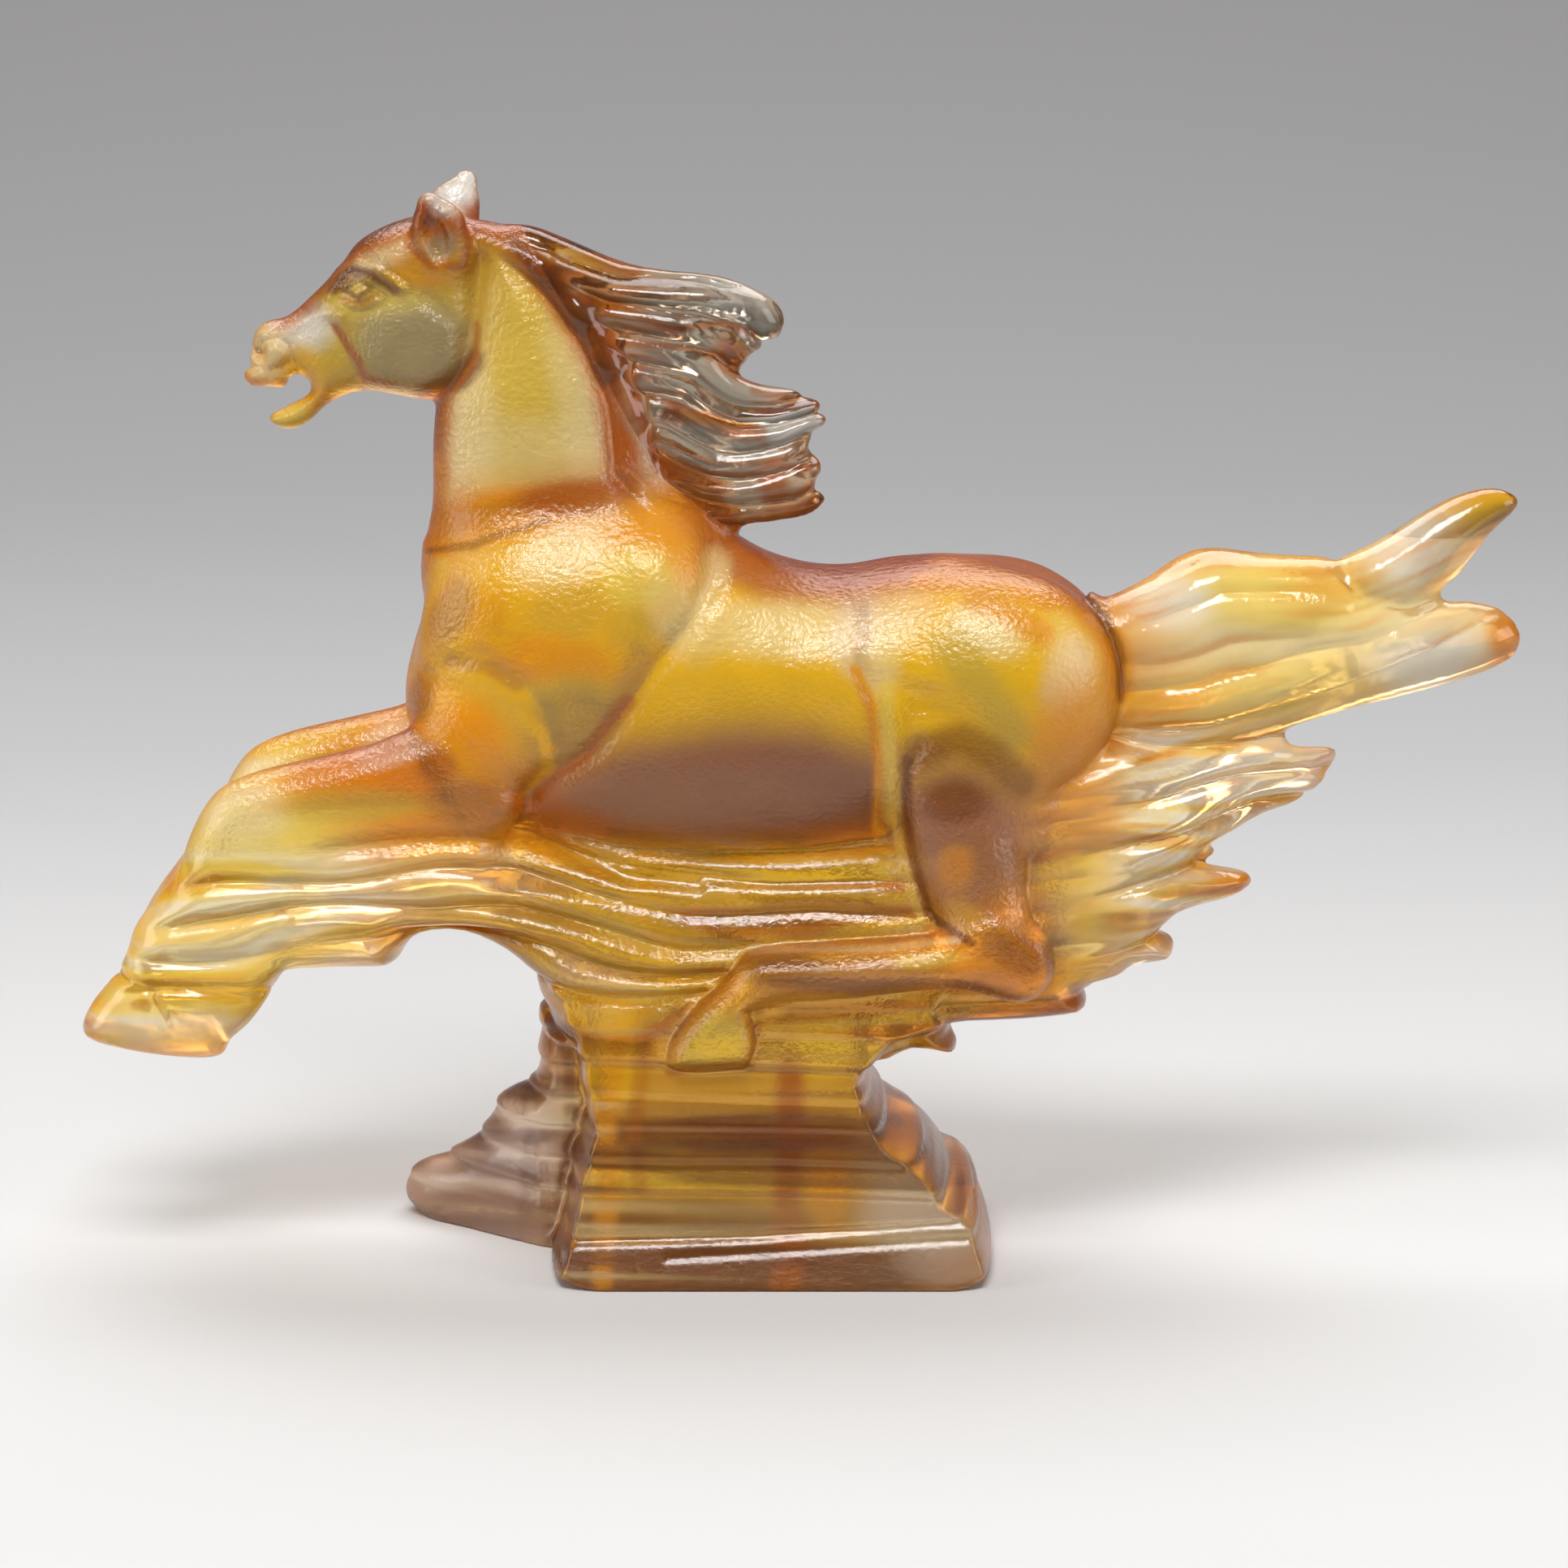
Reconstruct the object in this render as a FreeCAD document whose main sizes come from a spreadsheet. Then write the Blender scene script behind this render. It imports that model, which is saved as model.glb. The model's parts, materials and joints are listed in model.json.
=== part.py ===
import FreeCAD, Part
import math
import os

import Sketcher
from FreeCAD import Placement, Rotation, Vector

# A galloping horse in cast glass, carried on a breaking wave over a rock-like pedestal. The horse faces -X,
# its near side is -Y, and the pedestal stands on Z = 0. It is one casting, drawn as its sculpted members,
# which meet face to face. Every position is in millimetres at full size, and model_scale multiplies them all.

doc = FreeCAD.newDocument("glass_horse")
sheet = doc.addObject("Spreadsheet::Sheet", "sizes")

DIMENSIONS = {
    "model_scale": 1.0,
    "barrel_half_width": 24.0,
    "haunch_half_width": 24.0,
    "shoulder_half_width": 13.0,
    "shoulder_offset": 11.0,
    "neck_half_width": 13.0,
    "head_half_width": 9.0,
    "jaw_half_width": 4.0,
    "ear_radius": 3.4,
    "forearm_half_width": 8.0,
    "foreleg_offset": 16.0,
    "gaskin_half_width": 8.0,
    "cannon_half_width": 5.0,
    "hind_leg_offset": 22.0,
    "mane_thickness": 20.0,
    "tail_thickness": 24.0,
    "wave_thickness": 44.0,
    "plinth_height": 10.0,
}
for row, (alias, value) in enumerate(DIMENSIONS.items(), start=1):
    sheet.set(f"A{row}", alias)
    sheet.set(f"B{row}", str(value))
    sheet.setAlias(f"B{row}", alias)
doc.recompute()

SCALE = sheet.get("model_scale")
NEAR, OFF = -1, 1


def place(feature, position, turn):
    """Turns a feature and binds where it stands. A position may hold numbers or expressions of the sheet."""
    feature.Placement = Placement(Vector(), turn)
    for axis, value in zip("xyz", position):
        feature.setExpression(f"Placement.Base.{axis}", f"({value}) * sizes.model_scale")


def draw_outline(sketch, corners):
    """Draws a closed outline of straight sides through (u, v) corners."""
    points = [Vector(u * SCALE, v * SCALE, 0) for u, v in corners]
    for start, end in zip(points, points[1:] + points[:1]):
        sketch.addGeometry(Part.LineSegment(start, end), False)
    for side in range(len(points)):
        following = (side + 1) % len(points)
        sketch.addConstraint(Sketcher.Constraint("Coincident", side, 2, following, 1))


def ellipse(name, position, half_height, half_width, tilt, width_cell):
    """A section across a member, tilted in degrees about Y from upright. Its width follows a cell."""
    section = doc.addObject("Part::Ellipse", name)
    height = f"{half_height} * sizes.model_scale"
    width = f"{half_width / DIMENSIONS[width_cell]} * sizes.{width_cell} * sizes.model_scale"
    across = Vector(math.sin(math.radians(tilt)), 0, math.cos(math.radians(tilt)))
    sideways = Vector(0, 1, 0)
    if half_height < half_width:
        height, width = width, height
        across, sideways = sideways, across
    section.setExpression("MajorRadius", height)
    section.setExpression("MinorRadius", width)
    place(section, position, Rotation(across, sideways, across.cross(sideways), "XYZ"))
    return section


def lofted(name, width_cell, stations):
    """A member lofted through stations of (x, y, z, half height, half width, tilt)."""
    loft = doc.addObject("Part::Loft", name)
    loft.Sections = [
        ellipse(f"{name}_section{i}", station[:3], *station[3:], width_cell) for i, station in enumerate(stations)
    ]
    loft.Solid = True
    return loft


def slab(name, outline, thickness_cell):
    """A body padded both ways from the mid-plane, from an outline of (x, z) corners."""
    body = doc.addObject("PartDesign::Body", name)
    sketch = body.newObject("Sketcher::SketchObject", f"{name}_outline")
    plane = next(o for o in body.Origin.OriginFeatures if o.Role == "XZ_Plane")
    sketch.AttachmentSupport = [(plane, "")]
    sketch.MapMode = "FlatFace"
    draw_outline(sketch, outline)
    pad = body.newObject("PartDesign::Pad", f"{name}_pad")
    pad.Profile = sketch
    pad.SideType = "Symmetric"
    pad.setExpression("Length", f"sizes.{thickness_cell} * sizes.model_scale")
    return body


def tower(name, levels):
    """A solid with straight sides between flat outlines of (x, y) corners at rising heights."""
    loft = doc.addObject("Part::Loft", name)
    sections = []
    for i, (height, corners) in enumerate(levels):
        sketch = doc.addObject("Sketcher::SketchObject", f"{name}_level{i}")
        draw_outline(sketch, corners)
        place(sketch, (0, 0, height), Rotation())
        sections.append(sketch)
    loft.Sections = sections
    loft.Solid = True
    loft.Ruled = True
    return loft


def joined(kind, name, shapes):
    """A boolean of several shapes: Part::MultiCommon or Part::MultiFuse."""
    result = doc.addObject(kind, name)
    result.Shapes = shapes
    return result


nodes = {}


def keep(name, shape, neighbours=()):
    """Names a finished member, after cutting away the room that its earlier neighbours take."""
    if neighbours:
        cut = doc.addObject("Part::Cut", f"{name}_trimmed")
        cut.Base = shape
        cut.Tool = neighbours[0]
        if len(neighbours) > 1:
            cut.Tool = joined("Part::MultiFuse", f"{name}_neighbours", list(neighbours))
        shape = cut
    shape.Label = name
    nodes[name] = shape
    return shape


# Trunk: the barrel and the hindquarters share an upright section, and both shoulders lie against the barrel.

HIP = (14, 0, 109.5, 27, 23.5, 0)
barrel = keep("barrel", lofted("barrel_loft", "barrel_half_width", [
    (-48, 0, 111, 21, 16, 0),
    (-34, 0, 111, 29, 21, 0),
    (-18, 0, 110, 31, 23.5, 0),
    (0, 0, 109, 28.5, 24, 0),
    HIP,
]))
haunch = keep("hindquarters", lofted("hindquarters_loft", "haunch_half_width", [
    HIP,
    (28, 0, 112, 26.5, 24, 0),
    (42, 0, 112, 25, 23, 0),
    (54, 0, 112, 20, 17, 0),
    (62, 0, 113, 11, 9, 0),
]))


def shoulder(side, name):
    """One shoulder and its half of the breast."""
    offset = f"{side} * sizes.shoulder_offset"
    return lofted(name, "shoulder_half_width", [
        (-77.5, f"0.8 * {offset}", 115, 9, 6, 0),
        (-72, offset, 117, 18, 10, 0),
        (-60, offset, 117, 27, 13, 0),
        (-44, offset, 120, 26, 13, 0),
        (-30, offset, 127, 18, 11, 0),
        (-19, f"0.7 * {offset}", 132, 9, 6, 0),
    ])


breast = joined("Part::MultiFuse", "breast", [shoulder(NEAR, "near_shoulder"), shoulder(OFF, "off_shoulder")])
forequarters = keep("forequarters", breast, [barrel])

# Neck, head, jaw and ears. The neck's sections lie almost flat at the breast and tip up towards the poll.

neck = keep("neck", lofted("neck_loft", "neck_half_width", [
    (-50, 0, 134, 21, 13, 90),
    (-49.5, 0, 148, 22.5, 13, 90),
    (-50, 0, 162, 21, 12, 92),
    (-52, 0, 175, 18, 11, 97),
    (-54, 0, 188, 13, 10, 95),
    (-58, 0, 198, 8, 8, 90),
]), [forequarters, barrel])
head = keep("head", lofted("head_loft", "head_half_width", [
    (-64.5, 0, 189, 13, 7.5, -6),
    (-70, 0, 188, 17.5, 9, -4),
    (-79, 0, 187, 16, 9, -8),
    (-88, 0, 184.5, 12.5, 8, -20),
    (-97, 0, 180, 7.5, 5.5, -25),
    (-104, 0, 178, 6.3, 5, -20),
    (-108, 0, 176.5, 3.2, 3.2, -15),
]), [neck])
keep("lower_jaw", lofted("jaw_loft", "jaw_half_width", [
    (-85, 0, 174, 3.6, 3.8, 0),
    (-91, 0, 171.2, 3.2, 4, 10),
    (-97, 0, 167.8, 3, 3.8, 15),
    (-101.5, 0, 166, 2.2, 3.4, 15),
    (-104, 0, 165.6, 1, 2, 15),
]), [head])


def ear(name, base, tip):
    """A pointed ear, as a cone from a wide base to a narrow tip, each given as (x, y, z)."""
    along = Vector(*tip) - Vector(*base)
    cone = doc.addObject("Part::Cone", name)
    cone.setExpression("Radius1", "sizes.ear_radius * sizes.model_scale")
    cone.setExpression("Radius2", "0.2 * sizes.ear_radius * sizes.model_scale")
    cone.setExpression("Height", f"{along.Length} * sizes.model_scale")
    place(cone, base, Rotation(Vector(0, 0, 1), along))
    return cone


keep("near_ear", ear("near_ear_cone", (-69, -5, 197), (-72.5, -9.5, 206.5)), [head, neck])
keep("off_ear", ear("off_ear_cone", (-69.5, 5, 198), (-65, 9, 212.8)), [head, neck])

# Limbs. side is NEAR or OFF. The forelegs reach forward and down; the hind cannons fold under the belly.


def foreleg(side, name):
    """Forearm to the knee, cannon to the pastern, and a long hoof flattened on its sole."""
    y = f"{side} * sizes.foreleg_offset"
    forearm = keep(f"{name}_forearm", lofted(f"{name}_forearm_loft", "forearm_half_width", [
        (-58, y, 97, 11, 8, 0),
        (-72, y, 97, 10.5, 8, 0),
        (-88, y, 94, 9, 7, 0),
        (-104, y, 91.5, 8, 6, 0),
        (-113, y, 88, 6.5, 5.5, -25),
    ]), [forequarters, barrel])
    cannon = keep(f"{name}_fore_cannon", lofted(f"{name}_fore_cannon_loft", "cannon_half_width", [
        (-108.5, y, 90, 8.5, 5.2, 62),
        (-114.5, y, 76, 8, 4.8, 70),
        (-121, y, 62, 9, 4.8, 78),
        (-122.5, y, 57, 11, 5.4, 84),
    ]), [forearm])
    keep(f"{name}_fore_hoof", lofted(f"{name}_fore_hoof_loft", "cannon_half_width", [
        (-121.5, y, 58.5, 13, 5.4, 84),
        (-123, y, 51, 15, 6.2, 86),
        (-126.5, y, 43.5, 13.8, 6.6, 90),
    ]), [cannon])


def hind_leg(side, name):
    """Gaskin down to the hock, the cannon folded forward, and the hoof turned down."""
    y = f"{side} * sizes.hind_leg_offset"
    gaskin = keep(f"{name}_gaskin", lofted(f"{name}_gaskin_loft", "gaskin_half_width", [
        (32, f"0.65 * {y}", 101, 15, 8, 90),
        (31, f"0.8 * {y}", 88, 13.5, 8, 92),
        (34, f"0.9 * {y}", 74, 9.5, 7, 95),
        (38, y, 65, 8, 6, 100),
        (41, y, 57, 6, 5, 100),
    ]), [haunch, barrel])
    cannon = keep(f"{name}_hind_cannon", lofted(f"{name}_hind_cannon_loft", "cannon_half_width", [
        (40, y, 60.5, 6, 5, 0),
        (24, y, 62, 5.5, 5, 0),
        (4, y, 60, 5.5, 4.6, 0),
        (-6, y, 57.5, 7, 5, -20),
    ]), [gaskin])
    keep(f"{name}_hind_hoof", lofted(f"{name}_hind_hoof_loft", "cannon_half_width", [
        (-7, y, 58.5, 7, 5, -35),
        (-12.5, y, 51, 7.5, 5.6, -60),
        (-17, y, 41.5, 8.2, 6.2, -88),
    ]), [cannon])


foreleg(NEAR, "near")
foreleg(OFF, "off")
hind_leg(NEAR, "near")
hind_leg(OFF, "off")

# The pedestal: a plinth on the table, a rock face narrowed to a waist, and a wing that runs back to the left.
# Outlines start at the near left corner and run round to the off side.

hind_hooves = [nodes["near_hind_hoof"], nodes["off_hind_hoof"], nodes["near_hind_cannon"], nodes["off_hind_cannon"]]
rock_face = keep("pedestal_rock_face", tower("rock_face", [
    ("sizes.plinth_height", [(-46, -31), (32, -27), (25, 28), (-36, 27), (-40, -12)]),
    (37, [(-44, -25), (13, -24), (10, 18), (-36, 18), (-43, -10)]),
    (46, [(-50, -22), (26, -22), (24, 18), (-44, 18), (-48, -8)]),
]), hind_hooves)
wing = keep("pedestal_wing", tower("wing", [
    ("sizes.plinth_height", [(-40, -12), (-56, 4), (-69, 22), (-36, 27)]),
    (27, [(-41, -10.9), (-53, 2), (-61, 16), (-36, 21.3)]),
    (46, [(-43, -10), (-50, 0), (-54, 9), (-36, 18)]),
]), [rock_face])
keep("pedestal_plinth", tower("plinth", [
    ("0", [(-49, -36), (37, -30), (30, 36), (-30, 34), (-80, 24), (-60, 4), (-42, -12)]),
    ("sizes.plinth_height", [(-47, -33), (34, -28), (27, 31), (-32, 30), (-70, 23), (-56, 4), (-40, -12)]),
]))

# Mane, tail and wave: outlines of blown locks and torn water, each kept inside a lens that thins it outwards.

MANE_LENS = [
    (-68, 0, 172, 42, 8, 0),
    (-40, 0, 172, 42, 10, 0),
    (-15, 0, 170, 42, 7, 0),
    (8, 0, 168, 38, 3, 0),
]
TAIL_LENS = [
    (50, 0, 122, 20, 7, 0),
    (75, 0, 124, 26, 10, 0),
    (105, 0, 126, 30, 12, 0),
    (130, 0, 130, 28, 8, 0),
    (140.5, 0, 132, 24, 3, 0),
]
WAVE_LENS = [
    (-138, 0, 70, 45, 12, 0),
    (-100, 0, 72, 46, 17, 0),
    (-60, 0, 72, 46, 21, 0),
    (40, 0, 75, 50, 22, 0),
    (75, 0, 80, 50, 15, 0),
    (108, 0, 85, 50, 7, 0),
]


def plume(name, outline, thickness_cell, lens, neighbours):
    """A sheet of hair or water: its outline kept inside a lens, and cut back from its neighbours."""
    sheet_of_glass = slab(f"{name}_slab", outline, thickness_cell)
    envelope = lofted(f"{name}_lens", thickness_cell, lens)
    keep(name, joined("Part::MultiCommon", f"{name}_mass", [sheet_of_glass, envelope]), neighbours)


plume("mane_upper_lock", [
    (-63, 197), (-64, 203.5), (-56, 203.3), (-45, 199), (-35, 195), (-28, 194), (-18, 194), (-9, 190),
    (-4.5, 186.5), (-4, 183.5), (-8, 180), (-13, 177), (-13, 175), (-37, 175), (-41, 182), (-51, 192),
], "mane_thickness", MANE_LENS, [neck, head])
plume("mane_lower_lock", [
    (-37, 175), (-13, 175), (-9, 172.5), (0, 170), (4, 167.3), (4, 164.5), (1, 160.5), (3.8, 156.5),
    (2.5, 153), (4, 149.5), (2, 147.3), (-11, 145.5), (-14, 143.5), (-20, 138), (-32, 138), (-34, 158),
], "mane_thickness", MANE_LENS, [neck, forequarters, barrel])
plume("tail_upper_plume", [
    (54, 129), (65, 132), (75, 138.5), (82, 140), (98, 138), (108, 138.7), (118, 143), (123, 147),
    (131, 150), (137, 151), (140.5, 149.5), (139, 146.5), (133, 141), (126, 131), (110, 126), (54, 121),
], "tail_thickness", TAIL_LENS, [haunch])
plume("tail_lower_plume", [
    (54, 121), (110, 126), (126, 131), (135, 128), (140.5, 124), (140.5, 120), (138, 117.5), (130, 115),
    (120, 111), (107, 108), (94, 105), (54, 105),
], "tail_thickness", TAIL_LENS, [haunch])

limbs = [
    nodes[f"{side}_{member}"]
    for side in ("near", "off")
    for member in ("forearm", "fore_cannon", "fore_hoof", "gaskin", "hind_cannon", "hind_hoof")
]
horse = joined("Part::MultiFuse", "horse", [barrel, haunch, forequarters, *limbs])
plume("wave_prow", [
    (-113, 91), (-119, 76), (-131, 56), (-124, 46), (-107, 46.5), (-103, 51), (-97, 54), (-79, 55),
    (-77, 60.5), (-64, 61), (-60, 60), (-60, 92),
], "wave_thickness", WAVE_LENS, [horse])
plume("wave_middle", [
    (-60, 92), (-60, 60), (-54, 55), (-50, 50), (-47, 43), (24, 43), (24, 92), (-20, 90),
], "wave_thickness", WAVE_LENS, [horse, rock_face, wing])
plume("wave_lower_spray", [
    (24, 43), (30, 46), (54, 47.7), (55, 51), (64, 56.3), (64.5, 58), (70, 59), (71.5, 62), (71.5, 67),
    (82, 71), (87, 75), (82, 77), (79, 80), (24, 80),
], "wave_thickness", WAVE_LENS, [horse, rock_face])
plume("wave_upper_spray", [
    (24, 80), (79, 80), (79, 82), (85, 86), (92, 90), (100, 93), (104, 100), (97, 101), (94, 105), (24, 105),
], "wave_thickness", WAVE_LENS, [horse])

# Every feature has to be sound before anything is written.

doc.recompute()
for feature in doc.Objects:
    if {"Invalid", "Error"} & set(feature.State):
        raise RuntimeError(f"{feature.Name} failed: {feature.State}")
os.makedirs("parts", exist_ok=True)
for name, feature in nodes.items():
    shape = feature.Shape
    if shape.isNull() or not shape.isValid() or not shape.Solids:
        raise RuntimeError(f"{name} has no sound solid")
    print(f"{name}: {len(shape.Solids)} solid(s), {shape.Volume / 1000:.1f} cm3")
    shape.exportStep(f"parts/{name}.step")
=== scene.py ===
import json
import math

import bmesh
import bpy
import mathutils
import numpy as np
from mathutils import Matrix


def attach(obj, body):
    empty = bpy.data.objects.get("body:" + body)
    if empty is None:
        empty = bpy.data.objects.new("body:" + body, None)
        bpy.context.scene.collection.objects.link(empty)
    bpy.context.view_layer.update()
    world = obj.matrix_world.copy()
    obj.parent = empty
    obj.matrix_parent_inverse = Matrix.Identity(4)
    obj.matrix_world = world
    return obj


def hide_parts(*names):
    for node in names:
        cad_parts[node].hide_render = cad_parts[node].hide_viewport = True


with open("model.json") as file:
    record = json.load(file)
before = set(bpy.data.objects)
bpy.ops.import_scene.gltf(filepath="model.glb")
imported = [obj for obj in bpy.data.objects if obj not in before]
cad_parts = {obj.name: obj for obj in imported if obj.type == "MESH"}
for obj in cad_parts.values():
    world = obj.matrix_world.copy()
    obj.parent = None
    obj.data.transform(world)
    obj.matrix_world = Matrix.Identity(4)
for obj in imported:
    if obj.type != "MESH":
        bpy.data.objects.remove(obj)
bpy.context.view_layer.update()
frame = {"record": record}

import openvdb

# A kiln-cast glass horse, carved as one signed distance field on a grid and then parted into one closed piece
# for each CAD node. All shapes are written in millimetres of the CAD's own frame; the meshes are in metres.

MM = 0.001
VOXEL = 0.55
LOW = np.array([-144.0, -39.0, -2.0])
HIGH = np.array([144.0, 39.0, 217.0])
FAR = 9.0
TINY = 1e-6
NOISE_CELLS = 64

counts = np.ceil((HIGH - LOW) / VOXEL).astype(int) + 1
X, Y, Z = (LOW[i] + VOXEL * np.arange(counts[i], dtype=np.float32) for i in range(3))
field = np.full(counts, FAR, dtype=np.float32)


def smooth_min(a, b, blend):
    """The smaller of two fields, with their meeting rounded over blend."""
    overlap = np.maximum(blend - np.abs(a - b), 0) / blend
    return np.minimum(a, b) - overlap * overlap * blend * 0.25


def smoothstep(value, start, end):
    """0 up to start and 1 from end on, with a soft change between them."""
    share = np.clip((value - start) / (end - start), 0, 1)
    return share * share * (3 - 2 * share)


def value_noise(u, v, seed):
    """Smooth noise from 0 to 1 over a plane, one random value to each unit cell."""
    table = np.random.default_rng(seed).random((NOISE_CELLS, NOISE_CELLS)).astype(np.float32)
    u, v = np.broadcast_arrays(u, v)
    iu, iv = np.floor(u).astype(int), np.floor(v).astype(int)
    fu, fv = u - iu, v - iv
    fu, fv = fu * fu * (3 - 2 * fu), fv * fv * (3 - 2 * fv)
    ju, jv = (iu + 1) % NOISE_CELLS, (iv + 1) % NOISE_CELLS
    iu, iv = iu % NOISE_CELLS, iv % NOISE_CELLS
    low = table[iu, iv] * (1 - fu) + table[ju, iv] * fu
    high = table[iu, jv] * (1 - fu) + table[ju, jv] * fu
    return low * (1 - fv) + high * fv


def rounded(points, steps=5):
    """A closed outline through the points, as a smooth curve."""
    points = np.array(points, dtype=float)
    before, after, beyond = (np.roll(points, shift, axis=0) for shift in (1, -1, -2))
    curve = []
    for t in np.arange(steps) / steps:
        curve.append(0.5 * (
            2 * points + (after - before) * t
            + (2 * before - 5 * points + 4 * after - beyond) * t ** 2
            + (3 * points - before - 3 * after + beyond) * t ** 3
        ))
    return np.stack(curve, axis=1).reshape(-1, 2)


def distance_to_line(points, x, z):
    """Distance from each (x, z) to an open line through the points."""
    nearest = np.full(np.broadcast(x, z).shape, np.inf, dtype=np.float32)
    points = np.array(points, dtype=float)
    for (ax, az), (bx, bz) in zip(points[:-1], points[1:]):
        dx, dz = bx - ax, bz - az
        along = np.clip(((x - ax) * dx + (z - az) * dz) / (dx * dx + dz * dz + TINY), 0, 1)
        nearest = np.minimum(nearest, (x - ax - along * dx) ** 2 + (z - az - along * dz) ** 2)
    return np.sqrt(nearest)


def signed_distance(outline, x, z):
    """Distance from each (x, z) to a closed outline, below zero inside it."""
    closed = np.vstack([outline, outline[:1]])
    distance = distance_to_line(closed, x, z)
    inside = np.zeros(distance.shape, dtype=bool)
    for (ax, az), (bx, bz) in zip(closed[:-1], closed[1:]):
        if az != bz:
            inside ^= ((az > z) != (bz > z)) & (x < (bx - ax) * (z - az) / (bz - az) + ax)
    return np.where(inside, -distance, distance)


def window(low, high):
    """The slices of the grid that cover a box, with room for blending."""
    low = np.clip(np.floor((np.array(low) - LOW - FAR) / VOXEL).astype(int), 0, counts)
    high = np.clip(np.ceil((np.array(high) - LOW + FAR) / VOXEL).astype(int) + 1, 0, counts)
    return tuple(slice(a, b) for a, b in zip(low, high))


def add(low, high, shape, blend, remove=False):
    """Joins a shape to the field, or takes it out. shape(x, y, z) gives its distance in a box of the grid."""
    part = window(low, high)
    distance = shape(X[part[0]][:, None, None], Y[part[1]][None, :, None], Z[part[2]][None, None, :])
    sign = -1 if remove else 1
    field[part] = sign * smooth_min(sign * field[part], distance.astype(np.float32), blend)


# Up to this share of the way out from its core, a casting's distance is scaled by the smaller of its
# thickness and its edge.
CORE = 0.3
# The near relief gives way to the off relief over this distance each side of the middle.
RELIEF_CHANGE = 3


def casting(outline, half_thickness, edge, blend, centre=0.0, relief=None, steps=5, fullness=2.0):
    """Adds a form with an (x, z) outline, as thick as half_thickness each way and rounded over edge.

    half_thickness and centre may be functions of (x, z). relief(x, z, side) raises its surface in
    millimetres, where side is -1 on the near side and 1 on the off side. fullness above 2 squares the
    cross-section.
    """
    curve = rounded(outline, steps)
    low, high = curve.min(axis=0), curve.max(axis=0)
    part = window((low[0], LOW[1], low[1]), (high[0], HIGH[1], high[1]))
    x, z = X[part[0]][:, None], Z[part[2]][None, :]
    inside = signed_distance(curve, x, z)
    half = half_thickness(x, z) if callable(half_thickness) else half_thickness
    middle = centre(x, z) if callable(centre) else centre
    half, middle = (np.broadcast_to(np.asarray(v, dtype=np.float32), inside.shape) for v in (half, middle))
    across = np.maximum(inside + edge, 0) / edge
    y = Y[part[1]][None, :, None]
    half = half[:, None, :]
    across = across[:, None, :]
    through = np.abs(y - middle[:, None, :]) / half
    reach = (across ** fullness + through ** fullness) ** (1 / fullness) + TINY
    inward, sideways = (across / reach) ** (fullness - 1), (through / reach) ** (fullness - 1)
    steepness = np.hypot(inward / edge, sideways / half) + TINY
    distance = (reach - 1) / np.where(reach > CORE, steepness, 1 / np.minimum(half, edge))
    if relief:
        near, off = relief(x, z, -1.0), relief(x, z, 1.0)
        mix = smoothstep(y - middle[:, None, :], -RELIEF_CHANGE, RELIEF_CHANGE)
        distance = distance - (near[:, None, :] * (1 - mix) + off[:, None, :] * mix)
    field[part] = smooth_min(field[part], distance.astype(np.float32), blend)


def along_x(places, sizes):
    """A thickness or centre that changes along X only."""
    return lambda x, z: np.interp(x, places, sizes)


def along_z(places, sizes):
    """A thickness or centre that changes along Z only."""
    return lambda x, z: np.interp(z, places, sizes)


def ball(centre, radii, blend, lean=0.0, mirrored=False, remove=False):
    """An ellipsoid, leaning about Y by degrees. mirrored puts its twin on the other side."""
    centre, radii = np.array(centre, dtype=float), np.array(radii, dtype=float)

    def shape(x, y, z):
        if mirrored:
            y = np.abs(y) * np.sign(centre[1])
        u, w = leaned(x - centre[0], z - centre[2], lean)
        dy = y - centre[1]
        share = [d / radius for d, radius in zip((u, dy, w), radii)]
        near = np.sqrt(share[0] ** 2 + share[1] ** 2 + share[2] ** 2)
        steep = [s / radius for s, radius in zip(share, radii)]
        steepness = np.sqrt(steep[0] ** 2 + steep[1] ** 2 + steep[2] ** 2) + TINY
        return np.minimum(near * (near - 1) / steepness, FAR)

    reach = max(radii[0], radii[2])
    low = [centre[0] - reach, -abs(centre[1]) - radii[1], centre[2] - reach]
    high = [centre[0] + reach, abs(centre[1]) + radii[1], centre[2] + reach]
    if not mirrored:
        low[1], high[1] = centre[1] - radii[1], centre[1] + radii[1]
    add(low, high, shape, blend, remove)


def limb(points, blend, flat=1.0):
    """Round cones through (x, y, z, radius) points. flat stretches them in Y, or squeezes them below 1."""
    for a, b in zip(points[:-1], points[1:]):
        a, b = np.array(a, dtype=float), np.array(b, dtype=float)
        run = b[:3] - a[:3]
        run[1] /= flat

        def shape(x, y, z, a=a, b=b, run=run):
            dx, dy, dz = x - a[0], (y - a[1]) / flat, z - a[2]
            along = np.clip((dx * run[0] + dy * run[1] + dz * run[2]) / (run @ run), 0, 1)
            across = [d - along * r for d, r in zip((dx, dy, dz), run)]
            gap = np.sqrt(across[0] ** 2 + across[1] ** 2 + across[2] ** 2)
            return (gap - (a[3] + (b[3] - a[3]) * along)) * min(1.0, flat)

        reach = max(a[3], b[3])
        low, high = np.minimum(a[:3], b[:3]) - reach, np.maximum(a[:3], b[:3]) + reach
        add(low, high, shape, blend)


def leaned(dx, dz, lean):
    """The same step, seen from axes that lean by degrees."""
    c, s = math.cos(math.radians(lean)), math.sin(math.radians(lean))
    return c * dx + s * dz, c * dz - s * dx


def groove(line, x, z, depth, width):
    """A crease along a line: below zero along it, fading over width."""
    return -depth * np.exp(-(distance_to_line(line, x, z) / width) ** 2)


def swell(x, z, at, radii, height, lean=0.0):
    """A soft round rise."""
    along, up = leaned(x - at[0], z - at[1], lean)
    return height * np.exp(-(along / radii[0]) ** 2 - (up / radii[1]) ** 2)


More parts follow.
